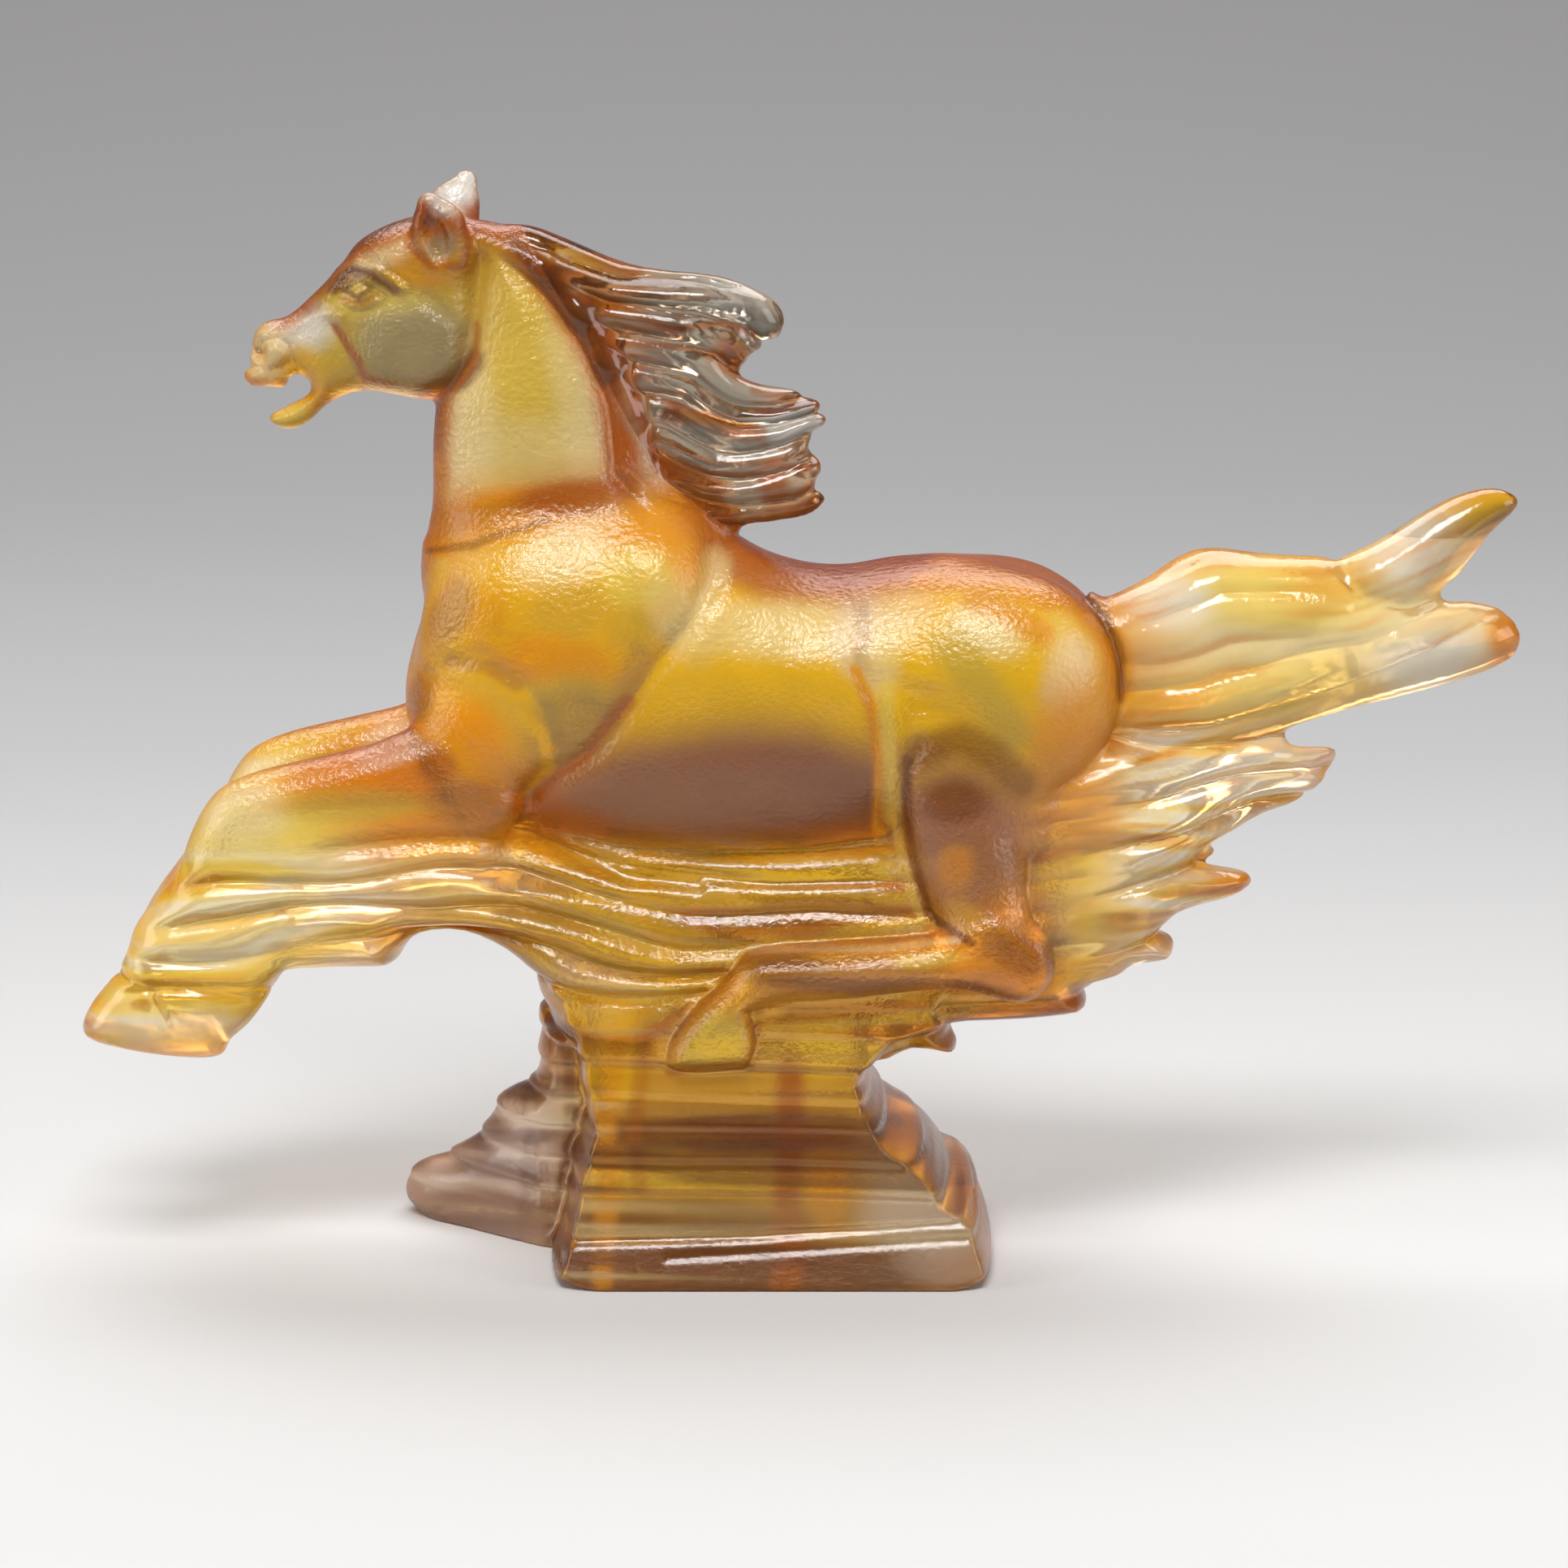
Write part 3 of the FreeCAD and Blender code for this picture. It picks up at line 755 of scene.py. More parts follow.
def boolean(body, tool, operation):
    """The body's mesh after a boolean with the tool. New faces take the tool's material."""
    modifier = body.modifiers.new("parting", "BOOLEAN")
    modifier.operation = operation
    modifier.solver = "MANIFOLD"
    modifier.object = tool
    modifier.material_mode = "TRANSFER"
    result = bpy.data.meshes.new_from_object(body.evaluated_get(bpy.context.evaluated_depsgraph_get()))
    body.modifiers.remove(modifier)
    return result


# Colour. Clouds of coloured glass are laid over a base in order, and some of them are painted highlights.
# Each is (x, z, reach x, reach z, colour, share), with its lean in degrees last if it has one.

CLEAR = (0.98, 0.96, 0.88)
SMOKE = (0.56, 0.50, 0.38)
PINK = (1.00, 0.84, 0.70)
CREAM = (1.00, 0.82, 0.42)
LEMON = (1.00, 0.75, 0.12)
YELLOW = (1.00, 0.58, 0.008)
HONEY = (0.80, 0.42, 0.04)
OLIVE = (0.70, 0.48, 0.05)
GREY = (0.36, 0.31, 0.19)
AMBER = (0.90, 0.34, 0.008)
ORANGE = (1.00, 0.38, 0.002)
RUST = (0.50, 0.11, 0.004)
BROWN = (0.18, 0.045, 0.004)
MAUVE = (0.34, 0.14, 0.065)

FRIT_AND_HIGHLIGHTS = [
    # the broad body colours
    (-84, 188, 30, 24, OLIVE, 1.0), (-53, 168, 22, 34, OLIVE, 1.0),
    (-50, 122, 30, 28, YELLOW, 1.0), (-8, 112, 40, 32, YELLOW, 1.0),
    (36, 112, 30, 30, YELLOW, 1.0), (-114, 76, 34, 36, LEMON, 1.0),
    (-14, 172, 34, 36, SMOKE, 1.0), (106, 124, 50, 32, CREAM, 1.0),
    (-6, 18, 64, 40, HONEY, 1.0),
    # head
    (-75, 179, 15, 11, GREY, 0.75), (-82, 187, 13, 4, LEMON, 0.5),
    # the pale pink cloud on the forehead is a painted highlight
    (-72, 194, 9, 6, AMBER, 0.7), (-80, 196.5, 10, 4, PINK, 0.35, 25),
    (-97, 183, 8, 6, CLEAR, 0.8), (-94, 187, 3, 3, BROWN, 0.6),
    (-105, 179, 8, 8, CREAM, 0.9), (-96.5, 173.5, 4.5, 7, YELLOW, 1.0),
    (-101, 165, 8, 5, LEMON, 0.9), (-89, 191, 4.5, 3.5, BROWN, 0.6),
    (-70, 202, 7, 8, AMBER, 0.8), (-69, 198, 4, 4, GREY, 0.8),
    (-66, 211, 9, 9, CLEAR, 1.0),
    # neck
    (-52, 180, 16, 20, LEMON, 0.4), (-64, 158, 7, 26, CREAM, 0.5),
    (-43, 166, 5, 24, CREAM, 0.4, 10), (-53, 156, 20, 10, CREAM, 0.4),
    (-56, 146, 20, 7, AMBER, 1.0, 6), (-45, 149.5, 14, 5, RUST, 0.9, 8),
    # shoulder and chest
    (-25, 142, 15, 13, ORANGE, 1.0), (-46, 137, 11, 7, CREAM, 0.8, 10),
    (-31, 133, 9, 8, LEMON, 0.9), (-44, 127, 11, 6, OLIVE, 0.8, 10),
    (-32, 123, 6, 6, OLIVE, 0.6), (-47, 117, 16, 7, ORANGE, 1.0, -8),
    (-61, 126, 5, 9, AMBER, 0.5, -20), (-68, 127, 5, 9, MAUVE, 0.55, -24),
    (-73, 111, 4, 6, BROWN, 0.6), (-44, 105, 12, 10, OLIVE, 0.9, 30),
    (-44, 104, 11, 8, MAUVE, 0.4, 30), (-63, 103, 7, 7, ORANGE, 1.0),
    (-70, 97, 4.5, 5, RUST, 0.8), (-64, 89, 10, 6, MAUVE, 0.6),
    # barrel; its first cream and pink clouds are a painted highlight
    (0, 124, 26, 8, CREAM, 0.9), (11, 123, 6, 10, PINK, 0.7),
    (-22, 125, 7, 11, CREAM, 0.6, 30), (-12, 91, 52, 15, MAUVE, 1.0),
    # hindquarters
    (19, 128, 8, 5, PINK, 0.35), (16, 119, 5, 10, CREAM, 0.7),
    # the cream cloud at (35, 122) on the croup is a painted highlight
    (35, 122, 9, 5, CREAM, 0.9, -25), (52, 122, 7, 8, LEMON, 0.7),
    (51, 114, 6, 9, PINK, 0.5), (24, 108, 8, 8, YELLOW, 0.9),
    (53, 101, 12, 13, ORANGE, 0.8), (25, 95, 6, 6, HONEY, 0.6),
    (32, 80, 16, 18, MAUVE, 1.0), (29, 90, 9, 5, BROWN, 0.9),
    (30, 76, 5, 6, AMBER, 0.5), (31, 67, 6, 4, HONEY, 0.7),
    (44, 60, 13, 7, BROWN, 0.8),
    # legs and wave
    # the cream cloud at the knee is a painted highlight
    (-109, 89, 12, 9, CREAM, 1.0), (-124, 56, 18, 14, LEMON, 0.9),
    (-131, 49, 8, 5, CREAM, 0.7), (-131, 43.5, 10, 3, OLIVE, 0.9),
    # the pink cloud at (-79, 99) on the forearm is a painted highlight
    (-87, 96, 16, 5, AMBER, 0.8, 12), (-79, 99, 8, 4, PINK, 0.5, 12),
    (-86, 88.5, 18, 4, OLIVE, 0.9), (-103, 76, 12, 2.5, OLIVE, 0.7),
    (-70, 79, 18, 4, ORANGE, 1.0), (-78, 69, 18, 3, PINK, 0.7),
    (-80, 65.5, 20, 3, RUST, 0.9), (-48, 79, 14, 4, AMBER, 0.8, -12),
    (-14, 66, 44, 14, HONEY, 0.9), (-4, 77, 30, 5, OLIVE, 0.9),
    (-2, 56, 10, 4.5, BROWN, 0.8), (14, 54.5, 16, 5, MAUVE, 0.8),
    (35, 52, 10, 5, MAUVE, 0.7), (24, 58.5, 8, 2, LEMON, 0.7),
    (-17, 42, 9, 7, OLIVE, 1.0, 20), (-16, 40, 6, 4, YELLOW, 0.6),
    (-42, 51, 10, 6, AMBER, 0.7), (-28, 46, 9, 5, MAUVE, 0.6),
    (68, 76, 24, 28, CREAM, 0.9), (86, 84, 24, 24, CREAM, 0.9),
    (60, 55, 12, 5, ORANGE, 1.0), (88, 75, 8, 5, ORANGE, 1.0),
    (103, 98, 7, 6, ORANGE, 0.9), (70, 62, 12, 4, AMBER, 0.7),
    (54, 86, 12, 12, AMBER, 0.7),
    # mane and tail
    (-36, 180, 10, 16, RUST, 0.35, 30), (-10, 189, 12, 5, CLEAR, 0.8),
    (0, 164, 10, 8, CLEAR, 0.6), (-14, 176, 5, 4, RUST, 0.8),
    (-16, 193.5, 6, 2.5, RUST, 0.8), (-5, 151, 3.5, 4, RUST, 0.7),
    (94, 130, 22, 9, LEMON, 0.8), (88, 111, 34, 7, LEMON, 0.6, 8),
    (118, 140, 10, 10, CLEAR, 0.7), (122, 118, 14, 6, CLEAR, 0.7, 10),
    (72, 128, 10, 6, CLEAR, 0.7), (134, 147, 8, 4, YELLOW, 0.8, 34),
    (139, 121, 6, 7, AMBER, 0.9),
    # pedestal
    (-38, 35, 9, 9, YELLOW, 0.9), (4, 40, 8, 7, YELLOW, 0.8),
    (-18, 23.5, 44, 4, BROWN, 0.9), (-24, 15, 24, 4, YELLOW, 0.7),
    (-22, 6, 36, 4, BROWN, 0.9), (6, 12, 5, 10, ORANGE, 0.7),
    (24, 6, 14, 8, PINK, 0.8), (22, 18, 12, 11, CREAM, 0.6),
    (-14, -5, 52, 10, MAUVE, 1.0), (-16, -4, 42, 9, BROWN, 0.75),
    (28, -2, 12, 5, PINK, 0.4),
    # wing
    (-64, 18, 22, 36, PINK, 1.0), (-54, 30, 12, 2.6, BROWN, 0.8),
    (-56, 21, 14, 1.8, BROWN, 0.7), (-60, 13.5, 14, 3.2, BROWN, 0.7),
    (-62, 5, 24, 7, MAUVE, 0.9),
]

# Painted shade: the colour darkens where a form turns away, at its edges and in its furrows: brown on the
# horse, gold in the tail.
EDGE_SHADE_TINT = (0.62, 0.26, 0.08)
GOLD_EDGE_SHADE_TINT = (1.00, 0.64, 0.20)

# Drawn threads and edges of colour, some of them painted highlights: (line, width, colour, share).
THREADS_AND_HIGHLIGHTS = [
    # back, crest and belly
    ([(-15, 140), (-6, 135.5), (8, 134), (20, 135.5), (28, 136)], 6.0, RUST, 0.95),
    ([(28, 137), (44, 133), (54, 127.5), (60, 120), (62.5, 111)], 4.0, AMBER, 0.9),
    ([(56, 129), (61, 120), (63, 110)], 1.4, BROWN, 0.8),
    ([(-58, 201.5), (-52.6, 196), (-46, 188.5), (-41.5, 181.5), (-38.3, 172.7), (-35.6, 158)],
     3.6, RUST, 0.95),
    ([(-58, 201.5), (-52.6, 196), (-46, 188.5), (-41.5, 181.5), (-38.3, 172.7)], 1.8, BROWN, 0.8),
    # the pale pink line down the neck is a painted highlight
    ([(-46, 195), (-37, 181.6), (-32, 166.4)], 1.4, PINK, 0.5),
    ([(-39, 184), (-33, 172.7), (-29.6, 160), (-26, 154), (-18, 146)], 1.6, RUST, 0.9),
    ([(-53, 90), (-44, 85.5), (-30, 81), (-18, 79.5), (0, 80.5), (12, 82.5)], 4.4, RUST, 0.9),
    ([(-36, 83), (-18, 80.6), (0, 81.6)], 2.4, BROWN, 0.7),
    # head
    ([(-99, 186), (-93, 193), (-86, 199), (-77, 203.4), (-66, 203.6), (-58, 202)], 4.4, RUST, 0.95),
    ([(-95, 191), (-86, 200), (-77, 204), (-70, 204.6)], 2.2, BROWN, 0.7),
    ([(-72, 170), (-66, 173), (-63.4, 177)], 3.0, BROWN, 0.9),
    ([(-62.4, 184), (-63, 177), (-66, 172.8), (-69, 169)], 1.0, RUST, 0.7),
    ([(-90, 182.6), (-88, 179.2), (-86, 176.6), (-85, 173), (-80, 171.6)], 0.9, RUST, 0.9),
    ([(-89.2, 189.5), (-86, 193.6), (-81.4, 192.3), (-77, 188.6)], 1.3, BROWN, 0.9),
    ([(-88, 187.6), (-84, 186.2), (-80.4, 187.8)], 0.7, RUST, 0.7),
    ([(-87, 189.4), (-84.4, 191.8), (-81.4, 189.6), (-84.4, 187.4), (-87, 189.4)], 0.7, BROWN, 0.7),
    ([(-109, 178), (-108, 173.5), (-104, 172), (-99, 172.4)], 1.3, AMBER, 0.9),
    ([(-73, 206), (-75, 199), (-70, 194), (-64, 194), (-63.6, 199), (-68, 205)], 1.0, RUST, 0.8),
    ([(-68, 207.6), (-64.8, 211.4)], 4.0, CLEAR, 1.0),
    # neck and shoulder
    ([(-70.4, 168), (-70.4, 155)], 4.0, RUST, 0.85),
    ([(-71, 155), (-72, 140), (-74, 130)], 4.0, AMBER, 0.9),
    ([(-36, 160), (-35, 152)], 4.0, RUST, 0.8),
    ([(-72, 139.5), (-63, 139.5), (-56, 142), (-50, 144.5)], 1.0, BROWN, 0.6),
    ([(-70, 136), (-74, 127), (-77, 115)], 2.2, LEMON, 0.7),
    ([(-67, 117.5), (-60, 116), (-54.5, 112)], 2.0, MAUVE, 0.6),
    # the yellow arc on the arm is a painted highlight
    ([(-54, 106), (-49.5, 103), (-49, 97), (-53, 91)], 1.6, YELLOW, 0.8),
    ([(-16, 137), (-18, 129), (-22.5, 122.5)], 3.4, CREAM, 0.8),
    ([(-30, 117), (-36, 107)], 3.0, MAUVE, 0.4),
    ([(-33, 110), (-41, 99.6), (-49.5, 94), (-55, 88)], 1.7, RUST, 0.85),
    # flank, thigh and hind leg
    ([(12.4, 127), (12.6, 117)], 2.2, MAUVE, 0.4),
    ([(11, 116), (14.4, 108), (14.8, 97), (14, 84)], 1.5, AMBER, 0.95),
    ([(17, 112), (17, 98), (16.6, 87)], 1.8, LEMON, 0.8),
    ([(24, 132.5), (36, 132), (47, 128)], 2.6, AMBER, 0.8),
    ([(33, 128.5), (39, 126), (45, 121.5)], 3.2, AMBER, 0.9),
    ([(29, 119), (34, 112), (40, 103)], 5.0, OLIVE, 0.9),
    ([(22.5, 99), (30, 101), (37, 98), (43, 93)], 4.2, BROWN, 0.7),
    ([(17.6, 96), (17.6, 86), (19, 76), (22.6, 67)], 1.2, LEMON, 0.8),
    ([(20.4, 98), (19.8, 88), (21, 78), (24.5, 68), (32, 62)], 1.2, BROWN, 0.9),
    # the cream line along the top of the hind cannon is a painted highlight
    ([(-8.5, 60), (10, 61), (29, 62.5)], 1.0, CREAM, 0.8),
    ([(-11, 59), (-18, 50), (-26, 38)], 1.5, HONEY, 0.9),
    ([(-26, 36), (-10, 37), (-8.5, 45)], 1.0, RUST, 0.8),
    # forelegs and wave
    ([(-79, 104), (-95, 100), (-105, 97.5), (-113, 94.5), (-118, 89), (-122, 81), (-134, 60)],
     2.0, YELLOW, 0.8),
    ([(-128, 52), (-126.5, 45)], 0.7, HONEY, 0.8),
    ([(-72, 71.8), (-90, 71)], 1.0, RUST, 0.8),
    # mane
    ([(-56, 203.4), (-45, 199.5), (-36, 195.5), (-32, 194)], 2.6, RUST, 0.95),
    ([(-37, 187.3), (-31, 184), (-24.6, 181.6), (-15, 182.5), (-9, 180.6)], 0.9, RUST, 0.9),
    ([(-26, 167), (-16.5, 166), (-8, 162.3)], 1.8, RUST, 0.9),
    ([(-29.7, 171), (-21.6, 167.6), (-9, 164)], 0.8, RUST, 0.8),
    ([(-28, 161.5), (-18.5, 156.3), (2, 155.2)], 0.9, RUST, 0.8),
    ([(-9, 170.5), (3.5, 167)], 1.2, RUST, 0.8),
    ([(-28, 156), (-18, 151), (-14, 144)], 2.4, RUST, 0.8),
    ([(-15, 143.5), (-3, 146.5), (3, 149)], 1.3, RUST, 0.8),
    # pedestal
    ([(-36, 44), (-37, 25), (-38, -6)], 2.6, ORANGE, 0.7),
    ([(-31, 44), (-31.5, 12)], 1.8, RUST, 0.5),
    ([(-1.5, 37), (-2, 18), (-2.5, -6)], 3.4, RUST, 0.8),
    ([(-46, 44), (-45, 20), (-49, 2), (-50, -8)], 1.8, MAUVE, 0.8),
]
# The clouds rise from the middle of the horse to each side, and fall through the pedestal from near to far.
CLOUD_RISE = 0.21
CLOUD_WANDER = 2.6
SATIN_ROUGHNESS = 0.23


def ramp(value, stops):
    """A colour for each value, between (position, colour) stops."""
    places = [place for place, _ in stops]
    return np.stack([np.interp(value, places, [c[i] for _, c in stops]) for i in range(3)], axis=1)


def lay(colour, tint, share):
    """Glass of another tint laid over the colour, by its share at each point."""
    share = share[:, None]
    return colour * (1 - share) + np.asarray(tint) * share


def mane_share(x, z):
    """1 in the mane and 0 outside it."""
    return smoothstep(x + 0.55 * (z - 178), -44, -36) * smoothstep(z, 141, 147) * smoothstep(-x, -20, -10)


def drawn_out(points, colour):
    """Threads of other glass, drawn out along the water, the hair and the strata of the rock."""
    x, y, z = points.T
    side = np.sign(y)
    level = water_level(x, z, side, 31)
    thread = 0.6 * value_noise(x / 38 + 3 * side, level, 81) + 0.4 * value_noise(x / 20, 2.3 * level, 82)
    thread = thread + 0.25 * (value_noise(x / 40, z / 20, 83) - 0.5)
    torn = smoothstep(x, 54, 70)
    fine = 0.5 * value_noise(x / 30 + 3 * side, 2.6 * level, 89) + 0.5 * value_noise(x / 16, 4.4 * level, 90)
    thread = thread * (1 - torn) + fine * torn
    water = smoothstep(-z, -88, -80) * smoothstep(z, 40, 47)
    water = np.maximum(water, smoothstep(x, 60, 66) * smoothstep(z, 40, 47) * smoothstep(-z, -108, -102))
    hind_legs = [[(33, 92), (32, 80), (36, 70), (42, 64)], [(42, 63), (-6, 60)], [(-6, 60), (-22, 44)]]
    outside = smoothstep(np.abs(y), 12, 18)
    for line, reach in zip(hind_legs, (13, 6.5, 8)):
        water = water * (1 - outside * (1 - smoothstep(distance_to_line(line, x, z) / reach, 0.7, 1.1)))
    warm = [(0.24, BROWN), (0.36, RUST), (0.46, OLIVE), (0.56, YELLOW), (0.68, LEMON), (0.8, CREAM)]
    pale = [(0.18, AMBER), (0.32, YELLOW), (0.46, LEMON), (0.6, CLEAR), (0.8, CREAM)]
    spray = [(0.22, RUST), (0.32, AMBER), (0.42, LEMON), (0.52, CLEAR), (0.68, CLEAR), (0.8, CREAM)]
    pale_threads = lay(ramp(thread, pale), ramp(thread, spray), torn)
    paleness = np.clip(smoothstep(-x, 66, 92) + torn, 0, 1)
    colour = lay(colour, lay(ramp(thread, warm), pale_threads, paleness), 0.7 * water)

    lock = flow(x, z, MANE_TOP, MANE_FOOT)
    strand = 0.6 * value_noise(x / 22 + 3 * side, lock * 22, 84) + 0.4 * value_noise(x / 12, lock * 41, 85)
    colour = lay(colour, RUST, 0.85 * mane_share(x, z) * (1 - smoothstep(strand, 0.26, 0.42)))

    tail = smoothstep(x, 60, 66) * smoothstep(z, 102, 107)
    lock = flow(x, z, TAIL_TOP, TAIL_FOOT)
    strand = 0.6 * value_noise(x / 26 + 3 * side, lock * 16, 86) + 0.4 * value_noise(x / 14, lock * 30, 87)
    colour = lay(colour, AMBER, 0.6 * tail * (1 - smoothstep(strand, 0.25, 0.45)))

    rock = smoothstep(-z, -46, -40) * (0.3 + 0.7 * smoothstep(x, -52, -46))
    bed = value_noise(x / 60, (z + CLOUD_RISE * y + BED_TILT * x) / 2.8, 88)
    colour = lay(colour, BROWN, 0.75 * rock * (1 - smoothstep(bed, 0.25, 0.42)))
    return lay(colour, CREAM, 0.55 * rock * smoothstep(bed, 0.62, 0.78))


def frit_and_painted_light(points, facing):
    """The glass's colour at points in millimetres. facing is 1 where the skin faces a side, 0 at an edge;
    where it falls, the colour is darkened as painted shade.
    """
    x, y, z = points.T
    pedestal = smoothstep(-z, -50, -42)
    z = z + CLOUD_RISE * (y * pedestal - np.abs(y) * (1 - pedestal))
    x = x + CLOUD_WANDER * (value_noise(x / 17, z / 12, 61) - 0.5)
    z = z + CLOUD_WANDER * (value_noise(x / 15 + 30, z / 11, 62) - 0.5)
    colour = np.tile(np.array(AMBER), (len(points), 1))
    for cx, cz, reach_x, reach_z, tint, share, *lean in FRIT_AND_HIGHLIGHTS:
        along, up = leaned(x - cx, z - cz, sum(lean))
        gap = np.hypot(along / reach_x, up / reach_z)
        colour = lay(colour, tint, share * (1 - smoothstep(gap, 0.45, 1.15)))
    for line, width, tint, share in THREADS_AND_HIGHLIGHTS:
        gap = distance_to_line(line, x, z) / width
        colour = lay(colour, tint, share * (1 - smoothstep(gap, 0.3, 1.3)))
    colour = drawn_out(points, colour)
    # Painted shade: darker towards edges and in furrows, where the skin turns from the sides.
    depth = (1 - facing[:, None]) ** 1.5
    golden = np.maximum(smoothstep(x, 60, 68), smoothstep(-x, 96, 108))
    edge = lay(np.array(EDGE_SHADE_TINT), GOLD_EDGE_SHADE_TINT, golden)
    return colour * (1 - depth * (1 - edge))


def satin(points):
    """Roughness: satin on the horse and the rock, softer on the water, and polished on the hair."""
    x, _, z = points.T
    hair = np.maximum(mane_share(x, z), smoothstep(x, 60, 68))
    water = smoothstep(-z, -84, -78) * smoothstep(z, 38, 46)
    return SATIN_ROUGHNESS - 0.11 * hair - 0.04 * water * (1 - hair)


def new_material(name):
    """A node material, with its nodes, its links and its shader."""
    material = bpy.data.materials.new(name)
    material.use_nodes = True
    nodes = material.node_tree.nodes
    return material, nodes, material.node_tree.links, nodes["Principled BSDF"]


def noise(nodes, links, scale, detail=2.0, distortion=0.0):
    """Noise fixed to the object, with scale cells to the metre."""
    place = nodes.new("ShaderNodeTexCoord")
    texture = nodes.new("ShaderNodeTexNoise")
    texture.inputs["Scale"].default_value = scale
    texture.inputs["Detail"].default_value = detail
    texture.inputs["Distortion"].default_value = distortion
    links.new(place.outputs["Object"], texture.inputs["Vector"])
    return texture.outputs["Fac"]


def spread(nodes, links, value, low, high):
    """A value from 0 to 1, spread from low to high."""
    scale = nodes.new("ShaderNodeMapRange")
    scale.inputs["To Min"].default_value = low
    scale.inputs["To Max"].default_value = high
    links.new(value, scale.inputs["Value"])
    return scale.outputs["Result"]


def stored(nodes, name, output):
    """A value that the mesh holds at each of its points."""
    attribute = nodes.new("ShaderNodeAttribute")
    attribute.attribute_name = name
    return attribute.outputs[output]


CORDS_TO_METRE = 90
MOTTLE_TO_METRE = 260
GRAIN_DEPTH = 0.4 * MM


def cast_glass(name, clearness, grain, grain_size):
    """Cast glass: coloured through by its stored colour, which holds painted shade and painted highlights
    too, with faint cords and the fine grain of the mould on its skin.

    clearness is the share of light that passes straight on: the rest is scattered back by fine bubbles.
    """
    material, nodes, links, glass = new_material(name)
    glass.inputs["Transmission Weight"].default_value = clearness
    glass.inputs["IOR"].default_value = 1.5

    cords = spread(nodes, links, noise(nodes, links, CORDS_TO_METRE, 4, 1.2), 0.88, 1.10)
    colour = nodes.new("ShaderNodeVectorMath")
    colour.operation = "SCALE"
    links.new(stored(nodes, "frit_and_painted_light", "Color"), colour.inputs[0])
    links.new(cords, colour.inputs["Scale"])
    links.new(colour.outputs["Vector"], glass.inputs["Base Color"])

    mottle = spread(nodes, links, noise(nodes, links, MOTTLE_TO_METRE), 0.8, 1.2)
    roughness = nodes.new("ShaderNodeMath")
    roughness.operation = "MULTIPLY"
    links.new(stored(nodes, "satin", "Fac"), roughness.inputs[0])
    links.new(mottle, roughness.inputs[1])
    links.new(roughness.outputs["Value"], glass.inputs["Roughness"])

    bump = nodes.new("ShaderNodeBump")
    bump.inputs["Strength"].default_value = grain
    bump.inputs["Distance"].default_value = GRAIN_DEPTH
    links.new(noise(nodes, links, 1 / grain_size, 3), bump.inputs["Height"])
    links.new(bump.outputs["Normal"], glass.inputs["Normal"])
    return material


def fused_joint():
    """The inside of the casting where two pieces are one glass: nothing shows there."""
    material, _, _, surface = new_material("fused_joint")
    surface.inputs["Alpha"].default_value = 0.0
    surface.inputs["Roughness"].default_value = 1.0
    return material


FINISH = {
    name: cast_glass(name, clearness, grain, grain_size * MM)
    for name, clearness, grain, grain_size in (
        ("satin_amber_glass", 0.71, 0.9, 1.1),
        ("clear_mane_glass", 0.97, 0.15, 1.4),
        ("clear_gold_glass", 0.74, 0.18, 1.4),
        ("streaked_wave_glass", 0.82, 0.45, 1.2),
        ("mauve_rock_glass", 0.84, 0.22, 1.1),
    )
}
JOINT = fused_joint()
OUTSIDE = bpy.data.materials.new("outside")
SLOTS = {part["node"]: part["material_slot"] for part in frame["record"]["subparts"]}


def finish_piece(name, mesh):
    """Names a piece, gives it its colour and true normals, and ties it to its body and node."""
    piece = new_object(f"{name}_glass", mesh)
    points = np.empty(len(mesh.vertices) * 3)
    mesh.vertices.foreach_get("co", points)
    points = points.reshape(-1, 3) / MM
    outward = slope(points)
    colour = mesh.attributes.new("frit_and_painted_light", "FLOAT_COLOR", "POINT")
    tint = frit_and_painted_light(points, np.abs(outward[:, 1]))
    colour.data.foreach_set("color", np.hstack([tint, np.ones((len(points), 1))]).ravel())
    gloss = mesh.attributes.new("satin", "FLOAT", "POINT")
    gloss.data.foreach_set("value", satin(points))
    for index, material in enumerate(mesh.materials):
        if material == OUTSIDE:
            mesh.materials[index] = FINISH[SLOTS[name]]
    mesh.shade_smooth()
    mesh.normals_split_custom_set_from_vertices(outward.tolist())
    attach(piece, "root")
    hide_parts(name)


points, quads = skin()
casting_mesh = bpy.data.meshes.new("casting")
casting_mesh.from_pydata((points * MM).tolist(), [], quads.tolist())
casting_mesh.materials.append(OUTSIDE)
rest = new_object("casting", casting_mesh)
for name, half_spaces in PARTING:
    tool = cutter(half_spaces)
    tool.data.materials.append(JOINT)
    taken = boolean(rest, tool, "INTERSECT")
    rest.data = boolean(rest, tool, "DIFFERENCE")
    bpy.data.objects.remove(tool)
    finish_piece(name, taken)
bpy.data.objects.remove(rest)

# The stage: a pale floor that bends up into a wall, its paper painted lightest under the figure and darker in
# front and with distance, as painted light and shade.

FLOOR_FRONT = -0.42
BEND_START = 0.9
BEND_RADIUS = 0.9
WALL = BEND_START + BEND_RADIUS
PAPER_HALF_WIDTH = 3.0
# The paper lies this far under the foot, so that the two do not share a plane.
PAPER_GAP = 0.0002

profile = [(y, 0.0) for y in np.linspace(FLOOR_FRONT, BEND_START, 10)]
for angle in np.linspace(0.1, math.pi / 2, 16):
    profile.append((BEND_START + BEND_RADIUS * math.sin(angle), BEND_RADIUS * (1 - math.cos(angle))))
profile += [(WALL, z) for z in (1.2, 1.8, 2.6)]
sweep = bmesh.new()
sides = (-PAPER_HALF_WIDTH, PAPER_HALF_WIDTH)
rows = [[sweep.verts.new((x, y, z - PAPER_GAP)) for x in sides] for y, z in profile]
for lower, upper in zip(rows[:-1], rows[1:]):
    sweep.faces.new((lower[0], lower[1], upper[1], upper[0]))
sweep_mesh = bpy.data.meshes.new("sweep")
sweep.to_mesh(sweep_mesh)
sweep.free()
sweep_mesh.shade_smooth()
backdrop = new_object("backdrop", sweep_mesh)
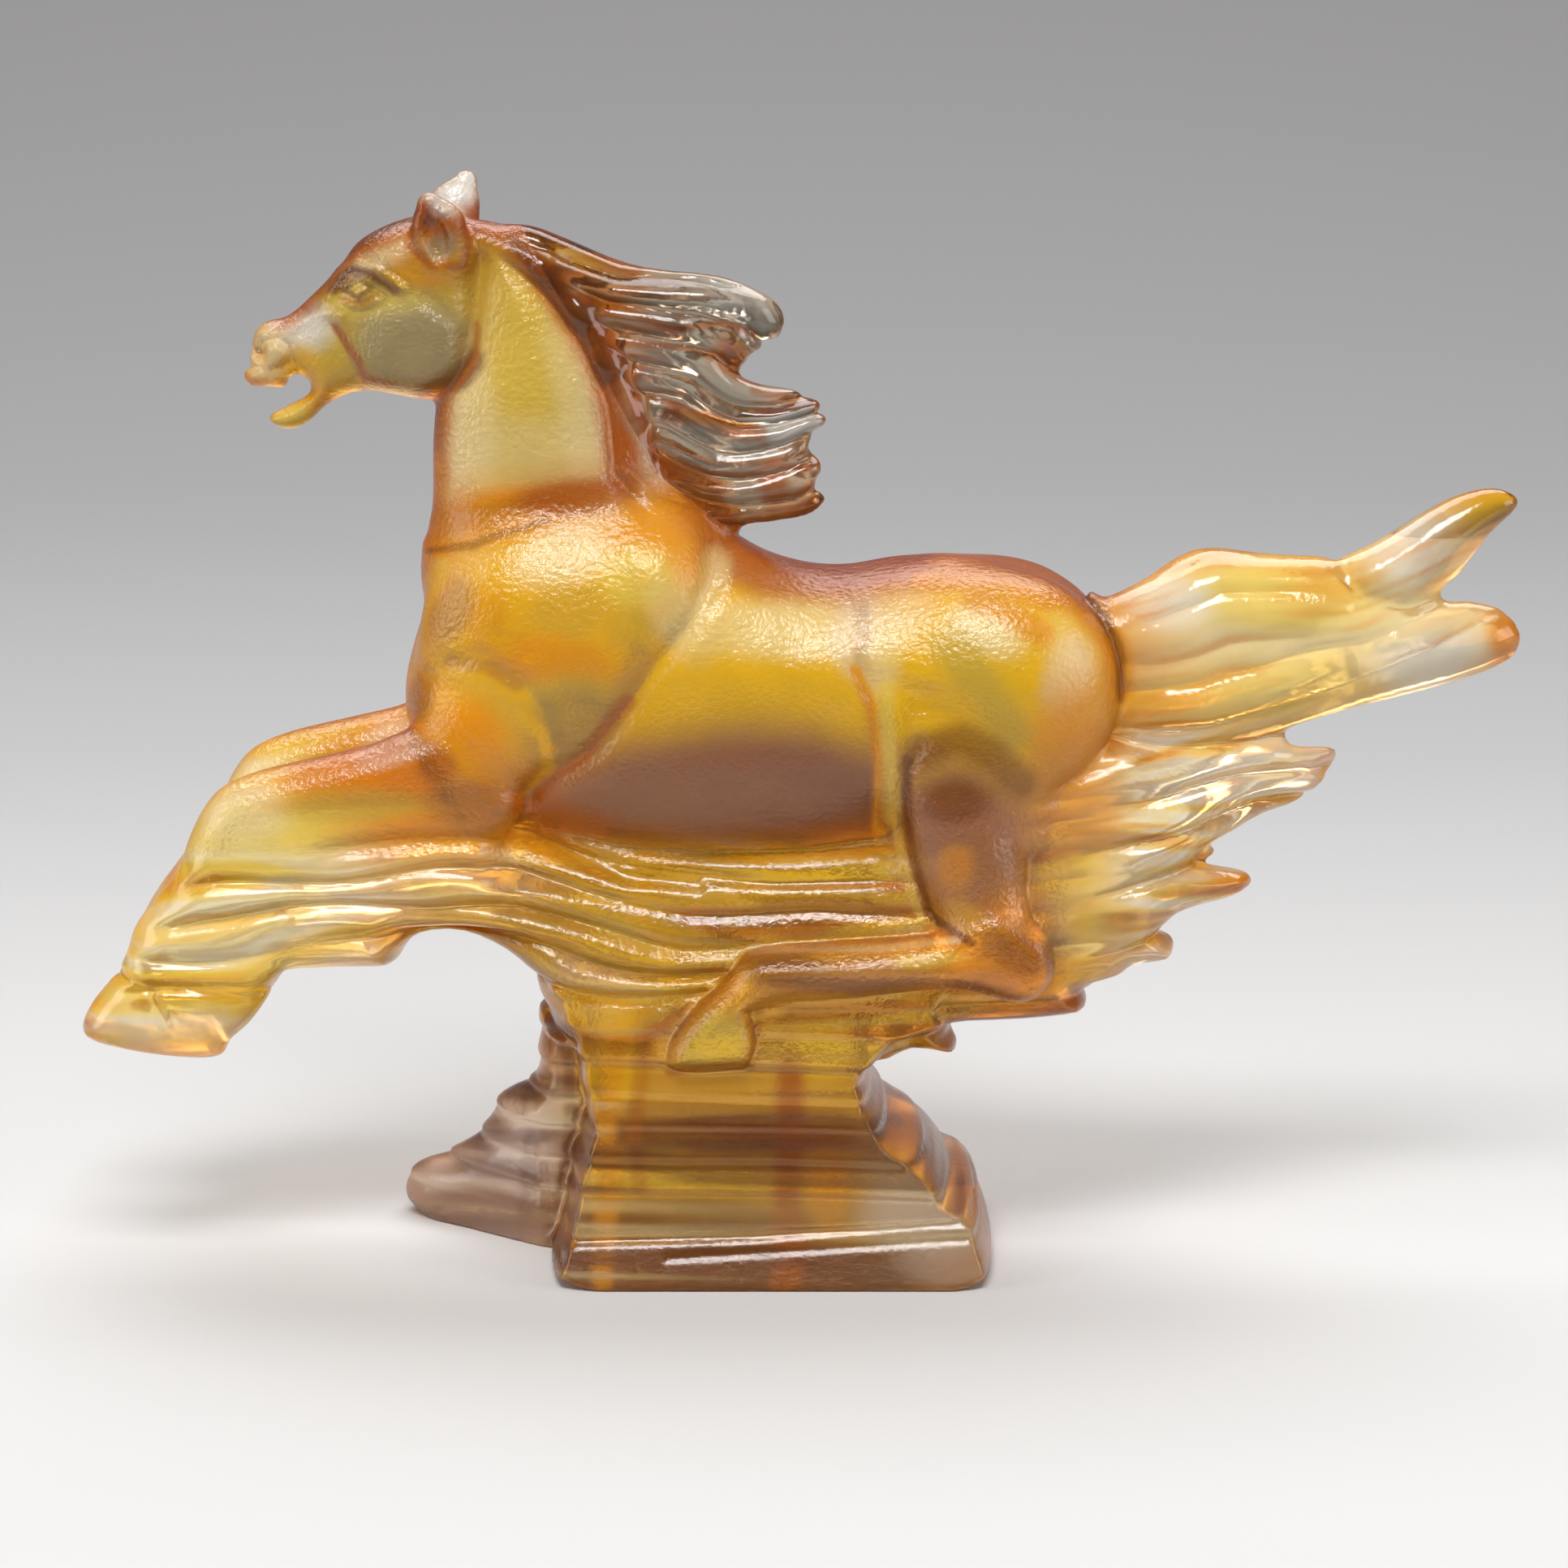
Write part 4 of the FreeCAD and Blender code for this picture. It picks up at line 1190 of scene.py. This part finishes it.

# Painted light and shade: the paper's tone along Y, lightest under the figure and dimming up the wall.
PAPER_SHADE_TONES = [
    (0.0, (0.42, 0.42, 0.42, 1)),
    (0.19, (0.50, 0.495, 0.49, 1)),
    (0.40, (0.355, 0.35, 0.352, 1)),
    (1.0, (0.165, 0.16, 0.163, 1)),
]
paper, paper_nodes, paper_links, paper_surface = new_material("backdrop_paper")
paper_place = paper_nodes.new("ShaderNodeTexCoord")
paper_split = paper_nodes.new("ShaderNodeSeparateXYZ")
paper_links.new(paper_place.outputs["Object"], paper_split.inputs["Vector"])
paper_range = paper_nodes.new("ShaderNodeMapRange")
paper_range.inputs["From Min"].default_value = FLOOR_FRONT
paper_range.inputs["From Max"].default_value = WALL
paper_links.new(paper_split.outputs["Y"], paper_range.inputs["Value"])
paper_ramp = paper_nodes.new("ShaderNodeValToRGB")
stops = paper_ramp.color_ramp.elements
stops[0].color = PAPER_SHADE_TONES[0][1]
stops[1].color = PAPER_SHADE_TONES[-1][1]
for position, tone in PAPER_SHADE_TONES[1:-1]:
    stops.new(position).color = tone
paper_links.new(paper_range.outputs["Result"], paper_ramp.inputs["Fac"])
paper_links.new(paper_ramp.outputs["Color"], paper_surface.inputs["Base Color"])
paper_surface.inputs["Roughness"].default_value = 0.9
sweep_mesh.materials.append(paper)

# Light and camera.


def aim(thing, target):
    direction = mathutils.Vector(target) - thing.location
    thing.rotation_euler = direction.to_track_quat("-Z", "Y").to_euler()


AIM_POINT = (0, 0, 0.1)


def softbox(name, place, size, power):
    light = bpy.data.lights.new(name, "AREA")
    light.shape = "RECTANGLE"
    light.size, light.size_y = size
    light.energy = power
    box = new_object(name, light)
    box.location = place
    aim(box, AIM_POINT)


softbox("overhead", (0.0, 1.0, 1.8), (2.4, 1.2), 44)
softbox("front_top", (-0.1, -0.8, 1.3), (0.8, 0.45), 22)
softbox("left_box", (-1.3, -0.4, 0.6), (0.7, 1.0), 8)
softbox("right_box", (1.3, -0.4, 0.6), (0.7, 1.0), 8)

world = bpy.data.worlds.new("studio")
world.use_nodes = True
world.node_tree.nodes["Background"].inputs["Color"].default_value = (1, 1, 1, 1)
world.node_tree.nodes["Background"].inputs["Strength"].default_value = 0.16
bpy.context.scene.world = world

bpy.context.scene.view_settings.view_transform = "Standard"

VIEW_ANGLE = math.radians(12)
VIEW_TARGET = (-0.0033, 0.0, 0.093)
VIEW_DISTANCE = 1.0
camera_data = bpy.data.cameras.new("camera")
camera_data.sensor_width = 36
camera_data.lens = 116.46
camera_data.dof.use_dof = False
camera = new_object("camera", camera_data)
camera.location = (
    VIEW_TARGET[0],
    VIEW_TARGET[1] - VIEW_DISTANCE * math.cos(VIEW_ANGLE),
    VIEW_TARGET[2] + VIEW_DISTANCE * math.sin(VIEW_ANGLE),
)
aim(camera, VIEW_TARGET)
bpy.context.scene.camera = camera
